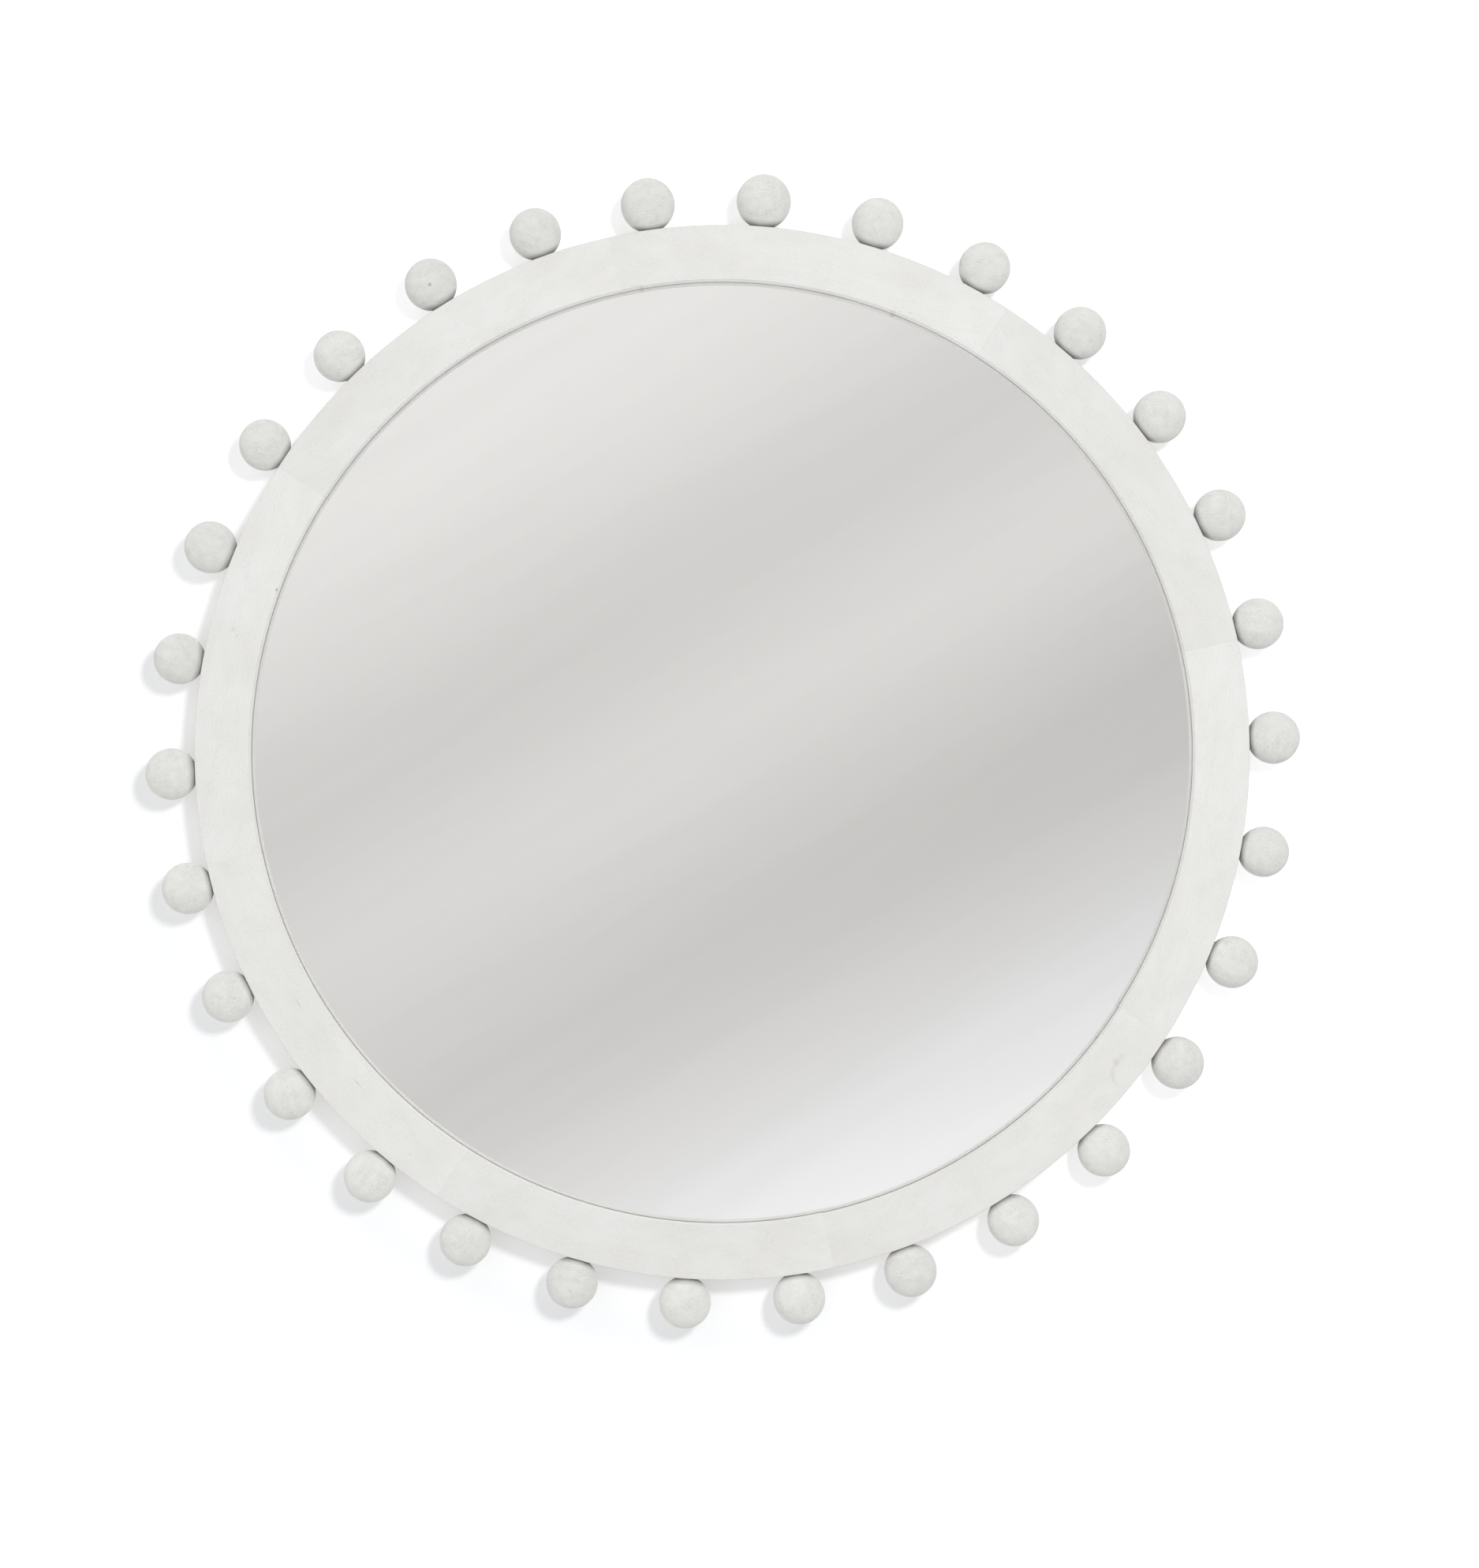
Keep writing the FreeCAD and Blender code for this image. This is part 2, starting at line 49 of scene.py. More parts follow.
# The distance that stands for no glue line or no seat near by, in mm.
FAR_OFF = 99.0
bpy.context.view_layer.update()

Colour = tuple[float, float, float, float]
Socket = bpy.types.NodeSocket
Tree = bpy.types.NodeTree


def linear(hex_colour: str) -> Colour:
    """Turns an sRGB colour into the linear one that a shader takes.

    Args:
        hex_colour: the colour as "#RRGGBB".

    Returns:
        Linear red, green and blue, and an alpha of 1.
    """
    channels = [int(hex_colour[start:start + 2], 16) / 255 for start in (1, 3, 5)]
    red, green, blue = (c / 12.92 if c <= 0.04045 else ((c + 0.055) / 1.055) ** 2.4 for c in channels)
    return red, green, blue, 1.0


def add_node(tree: Tree, kind: str, inputs: dict | None = None, **settings) -> bpy.types.Node:
    """Adds a shader node.

    Args:
        tree: the node tree that gets it.
        kind: the node's type, without its ShaderNode prefix.
        inputs: for a socket's name or number, its value or the output that feeds it.
        settings: the node's own options.

    Returns:
        The node.
    """
    node = tree.nodes.new(f"ShaderNode{kind}")
    for name, value in settings.items():
        setattr(node, name, value)
    for socket, value in (inputs or {}).items():
        if isinstance(value, Socket):
            tree.links.new(value, node.inputs[socket])
        else:
            node.inputs[socket].default_value = value
    return node


def set_ramp(ramp: bpy.types.Node, stops: list[tuple[float, Colour]]) -> bpy.types.Node:
    """Gives a colour ramp its stops.

    Args:
        ramp: a colour ramp node.
        stops: (place, colour) in rising order.

    Returns:
        The same node.
    """
    elements = ramp.color_ramp.elements
    while len(elements) < len(stops):
        elements.new(1.0)
    for element, (place, colour) in zip(elements, stops):
        element.position = place
        element.color = colour
    return ramp


def on_circle(radius: float | np.ndarray, angle: float | np.ndarray,
              depth: float | np.ndarray) -> np.ndarray:
    """Points about the mirror's axis: (radius cos angle, depth, radius sin angle).

    Args:
        radius: distance from the axis, in mm.
        angle: in degrees.
        depth: the y value, in mm.

    Returns:
        An array of points in mm, with x, y, z along its last axis.
    """
    turn = np.radians(angle)
    radius, turn, depth = np.broadcast_arrays(radius, turn, depth)
    return np.stack((radius * np.cos(turn), depth, radius * np.sin(turn)), axis=-1)


def grid_faces(rows: int, columns: int) -> list[tuple[int, ...]]:
    """The quads of a grid whose columns close on themselves, row by row.

    Args:
        rows: points along the open way.
        columns: points round the closed way.

    Returns:
        Four point numbers for each quad.
    """
    row, column = np.meshgrid(np.arange(rows - 1), np.arange(columns), indexing="ij")
    after = (column + 1) % columns
    quads = np.stack((row * columns + column, row * columns + after,
                      (row + 1) * columns + after, (row + 1) * columns + column), axis=-1)
    return [tuple(quad) for quad in quads.reshape(-1, 4).tolist()]


def signed_volume(points: np.ndarray, faces: list[tuple[int, ...]]) -> float:
    """Six times the volume inside closed faces: the sum of a . (b x c) over their triangles.

    Args:
        points: the vertices.
        faces: point numbers of each face.

    Returns:
        A positive number where the faces point outward.
    """
    fans = [(face[0], face[i], face[i + 1]) for face in faces for i in range(1, len(face) - 1)]
    a, b, c = (points[np.array(corner)] for corner in zip(*fans))
    return float(np.einsum("ij,ij->", a, np.cross(b, c)))


def make_piece(name: str, points: np.ndarray, faces: list[tuple[int, ...]], sharp_angle: float = 35.0
               ) -> bpy.types.Object:
    """Makes a closed mesh object at the origin, with its faces outward and smooth shading.

    Args:
        name: the piece's name.
        points: vertices in mm.
        faces: point numbers of each face.
        sharp_angle: faces that meet at more than this, in degrees, keep a sharp edge.

    Returns:
        The object.
    """
    if signed_volume(points - points.mean(axis=0), faces) < 0:
        faces = [face[::-1] for face in faces]
    mesh = bpy.data.meshes.new(name)
    mesh.from_pydata((points * MM).tolist(), [], faces)
    mesh.polygons.foreach_set("use_smooth", np.ones(len(mesh.polygons), dtype=bool))
    mesh.update()
    mesh.set_sharp_from_angle(angle=math.radians(sharp_angle))
    piece = bpy.data.objects.new(name, mesh)
    bpy.context.scene.collection.objects.link(piece)
    return piece


def store(piece: bpy.types.Object, name: str, values: np.ndarray) -> None:
    """Keeps a number or a vector for each of a piece's vertices, for its material.

    Args:
        piece: the mesh object.
        name: what the material calls it.
        values: one row for each vertex.
    """
    is_vector = values.ndim == 2
    attribute = piece.data.attributes.new(name, "FLOAT_VECTOR" if is_vector else "FLOAT", "POINT")
    attribute.data.foreach_set("vector" if is_vector else "value", values.astype(np.float32).ravel())


class Slot(Enum):
    """The record's material slots, by name. The script doesn't use them."""

    RING_WOOD = "limed_ring_wood"
    BALL_WOOD = "limed_ball_wood"
    GLASS = "silvered_glass"


@dataclass(frozen=True)
class Finish:
    """A surface as its maker leaves it.

    Attributes:
        name: the material's common name and how its surface was made.
        colour: its main colour.
        roughness: of the bare surface.
        metallic: 1 for bare metal, 0 for the rest.
    """

    name: str
    colour: str
    roughness: float
    metallic: float = 0.0

    def material(self) -> bpy.types.Material:
        """Makes the finish's material on its first use, and returns it."""
        material = bpy.data.materials.get(self.name)
        if material is None:
            material = bpy.data.materials.new(self.name)
            material.use_nodes = True
            shader = material.node_tree.nodes["Principled BSDF"]
            shader.inputs["Base Color"].default_value = linear(self.colour)
            shader.inputs["Roughness"].default_value = self.roughness
            shader.inputs["Metallic"].default_value = self.metallic
            self.work(material.node_tree, shader)
        return material

    def work(self, tree: Tree, shader: bpy.types.Node) -> None:
        """Adds what makes the surface more than a flat colour: nothing, for a plain finish.

        Args:
            tree: the material's nodes; not used here.
            shader: its main shader; not used here.
        """

    def dress(self, piece: bpy.types.Object) -> None:
        """Gives a piece this finish alone."""
        piece.data.materials.clear()
        piece.data.materials.append(self.material())


@dataclass(frozen=True)
class Blemish:
    """A small grey mark that shows through the lime: a spot, or an arc of the ring round a knot.

    Attributes:
        place: x, y and z of its middle, in mm.
        radius: of the arc, or 0 for a spot.
        width: from its darkest line to where it fades out, in mm.
        strength: how dark it is, from 0 to 1.
        way: the direction from its middle in which an arc shows.
    """

    place: tuple[float, float, float]
    radius: float
    width: float
    strength: float
    way: tuple[float, float, float] = (-1.0, 0.0, 0.0)


@dataclass(frozen=True)
class LimedWood(Finish):
    """Pale hardwood, sanded, rubbed with lime paste and left matt.

    The eye gets a chalky off-white, a little cooler where the lime lies thick. The grain shows faintly
    through it as fine streaks, short dark pores and soft growth rings. Where the paste dried unevenly
    it is crinkled. The arris of the opening is rubbed thin. Round a ball's seat the colour is drawn dark:
    partly wood that no brush reached, partly painted shade of the corner between the ball and the rim.

    Attributes:
        thin: colour where the lime is thin.
        bare: colour of the wood itself, greyed by the paste.
        pore: colour in an open pore or a pit.
        unlimed_and_shade: colour in the corner between a ball and the rim: unlimed wood, and painted shade
            of that corner.
        ring_pitch: between two growth rings, in mm.
        fibre: width of a streak, in mm.
        pore_width: of a pore, in mm, drawn wider than a real one so that it shows.
        pore_length: in mm.
        cloud: size of a patch of thicker lime, in mm.
        crinkle: size of a crinkle in the paste, in mm.
        figure: how much the growth rings show, from 0 to 1.
        pits: how much the pores show, from 0 to 1.
        relief: depth of the grain under the lime, in mm.
        crinkle_relief: height of the crinkles, in mm.
        crinkle_shade: how much darker the hollows between the crinkles are drawn, from 0 to 1.
        chalk: how chalky it is, from 0 to 1: a chalky surface is almost as bright at a grazing view.
        seat_reach: how far from a ball's seat its dark colour, unlimed wood and painted shade, fades out,
            in mm.
        seat_unlimed_and_shade: how much of that dark colour shows at the seat itself, from 0 to 1.
        blemishes: marks at certain places of the mirror.
    """

    thin: str = "#E0DFDB"
    bare: str = "#A69D90"
    pore: str = "#8F8A82"
    unlimed_and_shade: str = "#39332F"
    ring_pitch: float = 2.4
    fibre: float = 0.5
    pore_width: float = 0.35
    pore_length: float = 3.0
    cloud: float = 35.0
    crinkle: float = 2.0
    figure: float = 0.2
    pits: float = 0.35
    relief: float = 0.05
    crinkle_relief: float = 0.08
    crinkle_shade: float = 0.1
    chalk: float = 0.0
    seat_reach: float = 12.6
    seat_unlimed_and_shade: float = 0.8
    blemishes: tuple[Blemish, ...] = ()

    def work(self, tree: Tree, shader: bpy.types.Node) -> None:
        """Layers clouds, growth rings, streaks, pores, blemishes and worn arrises, and the grain's relief.

        Args:
            tree: the material's nodes.
            shader: its main shader.
        """
        grain = add_node(tree, "Attribute", attribute_name="grain").outputs["Vector"]
        place = add_node(tree, "TexCoord").outputs["Object"]
        wear, tone, seam, seat = (add_node(tree, "Attribute", attribute_name=name).outputs["Fac"]
                                  for name in ("wear", "tone", "seam", "seat"))

        def noise(along: float, across: float, detail: float) -> Socket:
            """Noise whose patches are so long and so wide, in mm."""
            scaled = add_node(tree, "VectorMath", {0: grain, 1: (1 / along, 1 / across, 1 / across)},
                              operation="MULTIPLY")
            return add_node(tree, "TexNoise", {"Vector": scaled.outputs["Vector"], "Scale": 1.0,
                                               "Detail": detail}).outputs["Fac"]

        def ranged(value: Socket, low: float, high: float, bottom: float, top: float) -> Socket:
            """Carries low..high over to bottom..top, and holds it there."""
            return add_node(tree, "MapRange", {0: value, 1: low, 2: high, 3: bottom, 4: top}
                            ).outputs["Result"]

        def product(first: Socket, second: Socket | float) -> Socket:
            """Two factors as one."""
            return add_node(tree, "Math", {0: first, 1: second}, operation="MULTIPLY").outputs[0]

        def laid_over(factor: Socket, under: Socket | Colour, over: Socket | Colour) -> Socket:
            """One colour over another."""
            return add_node(tree, "Mix", {0: factor, MIX_A: under, MIX_B: over}, data_type="RGBA"
                            ).outputs[MIX_COLOUR]

        # Growth rings are cylinders about the pith, drawn out along the grain and slightly wavy.
        drawn = add_node(tree, "VectorMath", {0: grain, 1: (0.12, 1.0, 1.0)}, operation="MULTIPLY")
        rings = add_node(tree, "TexWave", {"Vector": drawn.outputs["Vector"],
                                           "Scale": 2 * math.pi / (20 * self.ring_pitch),
                                           "Distortion": 2.5, "Detail": 3.0, "Detail Scale": 1.2},
                         wave_type="RINGS", rings_direction="X").outputs["Fac"]
        clouds = noise(self.cloud * 1.6, self.cloud, 3.0)
        streaks = noise(self.fibre * 30, self.fibre, 3.0)
        pores = noise(self.pore_length, self.pore_width, 1.0)
        patches = noise(12.0, 6.0, 2.0)
        crinkles = noise(self.crinkle * 1.5, self.crinkle, 2.0)
        crinkled = ranged(noise(26.0, 13.0, 1.0), 0.42, 0.58, 0.15, 1.0)

        colour = laid_over(ranged(clouds, 0.35, 0.7, 0.0, 0.55), linear(self.colour), linear(self.thin))
        colour = laid_over(product(ranged(rings, 0.5, 1.0, 0.0, 1.0), self.figure), colour,
                           linear(self.thin))
        colour = laid_over(ranged(streaks, 0.45, 0.8, 0.0, 0.5), colour, linear(self.thin))
        open_pores = product(ranged(pores, 0.66, 0.76, 0.0, 1.0), ranged(patches, 0.42, 0.62, 0.0, 1.0))
        colour = laid_over(product(open_pores, self.pits), colour, linear(self.pore))
        # The hollows between the crinkles are drawn darker, towards the pore colour.
        hollows = product(ranged(crinkles, 0.35, 0.6, 1.0, 0.0), crinkled)
        colour = laid_over(product(hollows, self.crinkle_shade), colour, linear(self.pore))
        rubbed = product(wear, ranged(patches, 0.35, 0.6, 0.25, 0.9))
        colour = laid_over(rubbed, colour, linear(self.bare))
        glue = product(ranged(seam, 0.3, 0.9, 1.0, 0.0), ranged(patches, 0.35, 0.6, 0.2, 0.5))
        colour = laid_over(glue, colour, linear(self.bare))

        for mark in self.blemishes:
            # Its line lies at the radius from its middle, frayed by the streaks.
            middle = tuple(length * MM for length in mark.place)
            width, reach = mark.width * MM, mark.radius * MM
            off = add_node(tree, "VectorMath", {0: place, 1: middle}, operation="SUBTRACT")
            off = off.outputs["Vector"]
            apart = add_node(tree, "VectorMath", {0: off}, operation="LENGTH").outputs["Value"]
            frayed = add_node(tree, "Math", {0: streaks, 1: width, 2: apart}, operation="MULTIPLY_ADD")
            astray = add_node(tree, "Math", {0: frayed.outputs[0], 1: reach + width * 0.5},
                              operation="SUBTRACT")
            astray = add_node(tree, "Math", {0: astray.outputs[0]}, operation="ABSOLUTE").outputs[0]
            share = ranged(astray, 0.0, width, mark.strength, 0.0)
            if mark.radius:
                side = add_node(tree, "VectorMath", {0: off, 1: mark.way}, operation="DOT_PRODUCT")
                side = ranged(side.outputs["Value"], 0.1 * reach, 0.9 * reach, 0.0, 1.0)
                share = product(share, side)
            colour = laid_over(share, colour, linear(self.pore))
        toned = add_node(tree, "HueSaturation", {"Value": tone, "Color": colour}).outputs["Color"]
        # Painted shade: round a ball's seat the colour goes towards a near black. This is partly unlimed
        # wood and partly the shade of the corner between the ball and the rim.
        dark = ranged(seat, 0.0, self.seat_reach, self.seat_unlimed_and_shade, 0.0)
        tree.links.new(laid_over(dark, toned, linear(self.unlimed_and_shade)), shader.inputs["Base Color"])
        shader.inputs["Diffuse Roughness"].default_value = self.chalk

        grained = add_node(tree, "Math", {0: streaks, 1: 0.5, 2: clouds}, operation="MULTIPLY_ADD")
        grained = add_node(tree, "Math", {0: open_pores, 1: -0.8, 2: grained.outputs[0]},
                           operation="MULTIPLY_ADD")
        bump = add_node(tree, "Bump", {"Height": grained.outputs[0], "Distance": self.relief * MM,
                                       "Strength": 1.0})
        bump = add_node(tree, "Bump", {"Height": product(crinkles, crinkled), "Strength": 1.0,
                                       "Distance": self.crinkle_relief * MM,
                                       "Normal": bump.outputs["Normal"]})
        tree.links.new(bump.outputs["Normal"], shader.inputs["Normal"])
        tree.links.new(ranged(clouds, 0.3, 0.7, self.roughness - 0.06, self.roughness + 0.08),
                       shader.inputs["Roughness"])


@dataclass(frozen=True)
class ClearGlass(Finish):
    """Float glass: clear and flat, with a faint green that comes from its iron.

    Attributes:
        ior: of soda-lime glass.
    """

    ior: float = 1.52

    def work(self, tree: Tree, shader: bpy.types.Node) -> None:
        """Lets the light through.

        Args:
            tree: the material's nodes.
            shader: its main shader.
        """
        shader.inputs["Transmission Weight"].default_value = 1.0
        shader.inputs["IOR"].default_value = self.ior
        # The tint of float glass changes a little over a sheet, far too little to see as a pattern.
        place = add_node(tree, "TexCoord").outputs["Object"]
        drift = add_node(tree, "TexNoise", {"Vector": place, "Scale": 2.0, "Detail": 1.0}).outputs["Fac"]
        tint = add_node(tree, "Mix", {0: drift, MIX_A: linear(self.colour), MIX_B: linear("#FAFBFB")},
                        data_type="RGBA").outputs[MIX_COLOUR]
        tree.links.new(tint, shader.inputs["Base Color"])


@dataclass(frozen=True)
class Speckled(Finish):
    """A surface of two close colours in fine patches, with a fine relief.

    Attributes:
        fleck: the second colour.
        grit: size of a patch, in mm.
        stretch: how many times a patch is longer than wide, along X.
        contrast: how far the second colour takes over, from 0 to 1.
        relief: height of the grit, in mm.
    """

    fleck: str = "#808080"
    grit: float = 1.0
    stretch: float = 1.0
    contrast: float = 0.6
    relief: float = 0.02

    def work(self, tree: Tree, shader: bpy.types.Node) -> None:
        """Mixes the two colours by fine noise, and lets the same noise shape the surface.

        Args:
            tree: the material's nodes.
            shader: its main shader.
        """
        place = add_node(tree, "TexCoord").outputs["Object"]
        turns = 1 / (self.grit * MM)
        scaled = add_node(tree, "Mapping", {"Vector": place,
                                            "Scale": (turns / self.stretch, turns, turns)})
        fine = add_node(tree, "TexNoise", {"Vector": scaled.outputs["Vector"], "Scale": 1.0, "Detail": 4.0,
                                           "Roughness": 0.65}).outputs["Fac"]
        broad = add_node(tree, "TexNoise", {"Vector": place, "Scale": 12.0, "Detail": 2.0}).outputs["Fac"]
        flecks = add_node(tree, "MapRange", {0: fine, 1: 0.35, 2: 0.65, 3: 0.0, 4: self.contrast})
        colour = add_node(tree, "Mix", {0: flecks.outputs["Result"], MIX_A: linear(self.colour),
                                        MIX_B: linear(self.fleck)}, data_type="RGBA").outputs[MIX_COLOUR]
        depth = add_node(tree, "MapRange", {0: broad, 1: 0.3, 2: 0.7, 3: 0.93, 4: 1.05})
        toned = add_node(tree, "HueSaturation", {"Value": depth.outputs["Result"], "Color": colour})
        tree.links.new(toned.outputs["Color"], shader.inputs["Base Color"])
        rough = add_node(tree, "MapRange", {0: fine, 1: 0.3, 2: 0.7, 3: self.roughness * 0.85,
                                            4: min(1.0, self.roughness * 1.15)})
        tree.links.new(rough.outputs["Result"], shader.inputs["Roughness"])
        bump = add_node(tree, "Bump", {"Height": fine, "Distance": self.relief * MM, "Strength": 0.6})
        tree.links.new(bump.outputs["Normal"], shader.inputs["Normal"])


@dataclass(frozen=True)
class Silvering(Finish):
    """Chemically deposited silver behind glass: a bright, very slightly warm mirror without any haze.

    Damp creeps in from the edge of such a mirror, and leaves small brown specks there.

    Attributes:
        speck: their colour.
        speck_size: in mm.
        sound: distance from the middle up to which the silver is sound, in mm.
        reached: distance at which specks are frequent.
    """

    speck: str = "#6B4A3C"
    speck_size: float = 1.6
    sound: float = 447.0
    reached: float = 466.0

    def work(self, tree: Tree, shader: bpy.types.Node) -> None:
        """Scatters specks that get more frequent towards the edge.

        Args:
            tree: the material's nodes.
            shader: its main shader.
        """
        place = add_node(tree, "TexCoord").outputs["Object"]
        apart = add_node(tree, "VectorMath", {0: place}, operation="LENGTH").outputs["Value"]
        fine = add_node(tree, "TexNoise", {"Vector": place, "Scale": 1 / (self.speck_size * MM),
                                           "Detail": 1.0}).outputs["Fac"]
        needed = add_node(tree, "MapRange", {0: apart, 1: self.sound * MM, 2: self.reached * MM, 3: 0.95,
                                             4: 0.62}).outputs["Result"]
        over = add_node(tree, "Math", {0: fine, 1: needed}, operation="SUBTRACT").outputs[0]
        specks = add_node(tree, "MapRange", {0: over, 1: 0.0, 2: 0.03, 3: 0.0, 4: 0.9}).outputs["Result"]
        colour = add_node(tree, "Mix", {0: specks, MIX_A: linear(self.colour), MIX_B: linear(self.speck)},
                          data_type="RGBA").outputs[MIX_COLOUR]
        tree.links.new(colour, shader.inputs["Base Color"])


# The ring has a knot at the lower right, and two small dents and a chip at its left. Three balls have a
# dark speck: one at the upper left, and two at the bottom.
RING_FINISH = LimedWood("limed wood, sanded flat", "#EAEAE8", 0.62, crinkle_shade=0.07, blemishes=(
    Blemish((388.0, -39.0, -309.4), 12.5, 2.8, 0.14), Blemish((379.4, -39.0, -297.5), 0.0, 5.0, 0.24),
    Blemish((384.5, -39.0, -292.5), 0.0, 4.5, 0.14), Blemish((-470.8, -39.0, 118.6), 0.0, 3.2, 0.17),
    Blemish((-467.0, -39.0, 112.5), 0.0, 2.2, 0.14), Blemish((-428.5, -39.0, 156.4), 0.0, 2.2, 0.8)))
BALL_FINISH = LimedWood("limed wood, turned", "#EAEAE7", 0.6, thin="#DCDCD9", pore="#6F6A63",
                        ring_pitch=2.2, cloud=7.0, crinkle=1.8, figure=0.25, pits=0.7, relief=0.12,
                        crinkle_relief=0.4, crinkle_shade=0.1, pore_width=0.7, pore_length=2.4, chalk=0.5,
                        blemishes=(Blemish((-280.0, -52.5, 448.1), 0.0, 2.4, 0.65),
                                   Blemish((-145.3, -51.1, -515.9), 0.0, 2.4, 0.5),
                                   Blemish((68.8, -48.3, -509.7), 0.0, 1.8, 0.7)))
GLASS_FINISH = ClearGlass("float glass", "#F9FBFA", 0.0)
SILVER_FINISH = Silvering("silver on glass", "#F9F9F8", 0.0, 1.0)
# Two coats of backing paint, curtain coated: a flat blue-grey with a faint orange peel.
BACKING_FINISH = Speckled("mirror backing paint", "#6E7A80", 0.45, fleck="#67737A", grit=3.0)
# Medium density fibreboard, sanded: warm brown, with fine fibres in every direction.
BOARD_FINISH = Speckled("fibreboard", "#A5835C", 0.75, fleck="#8C6C48", grit=0.9, stretch=2.5)
# Beech, planed: pinkish tan with short fine flecks.
BEECH_FINISH = Speckled("planed beech", "#C9A078", 0.55, fleck="#B58A61", grit=1.2, stretch=6.0)
# Closed cell foam, die cut: dark grey with small cells.
FOAM_FINISH = Speckled("closed cell foam", "#3B3C3E", 0.95, fleck="#2C2D2F", grit=0.8, relief=0.1)
# Synthetic rubber, moulded: near black and dull, with a satin skin.
RUBBER_FINISH = Speckled("moulded rubber", "#1E1E1F", 0.6, fleck="#29292A", grit=1.5)
# Mild steel, bright zinc plated: cool grey metal with a soft sheen and faint cloudy patches.
ZINC_FINISH = Speckled("zinc plated steel", "#C9CCCE", 0.3, 1.0, fleck="#B9BDC2", grit=4.0, contrast=0.8,
                       relief=0.004)


@dataclass(frozen=True)
class Board:
    """One wooden segment of the ring, as it differs from its neighbours.

    Attributes:
        tone: how light it is drawn against the others: partly how light its lime dried, partly painted
            light that offsets the lamp's falloff over the ring.
        lip_shift: how far its opening stands out of the true circle, in mm.
        seam_at: its edge-glue line's distance from the mirror's centre, in mm, or 0 for none.
        seam_slope: how much that distance changes along the line.
    """

    tone: float
    lip_shift: float = 0.0
    seam_at: float = 0.0
    seam_slope: float = 0.0


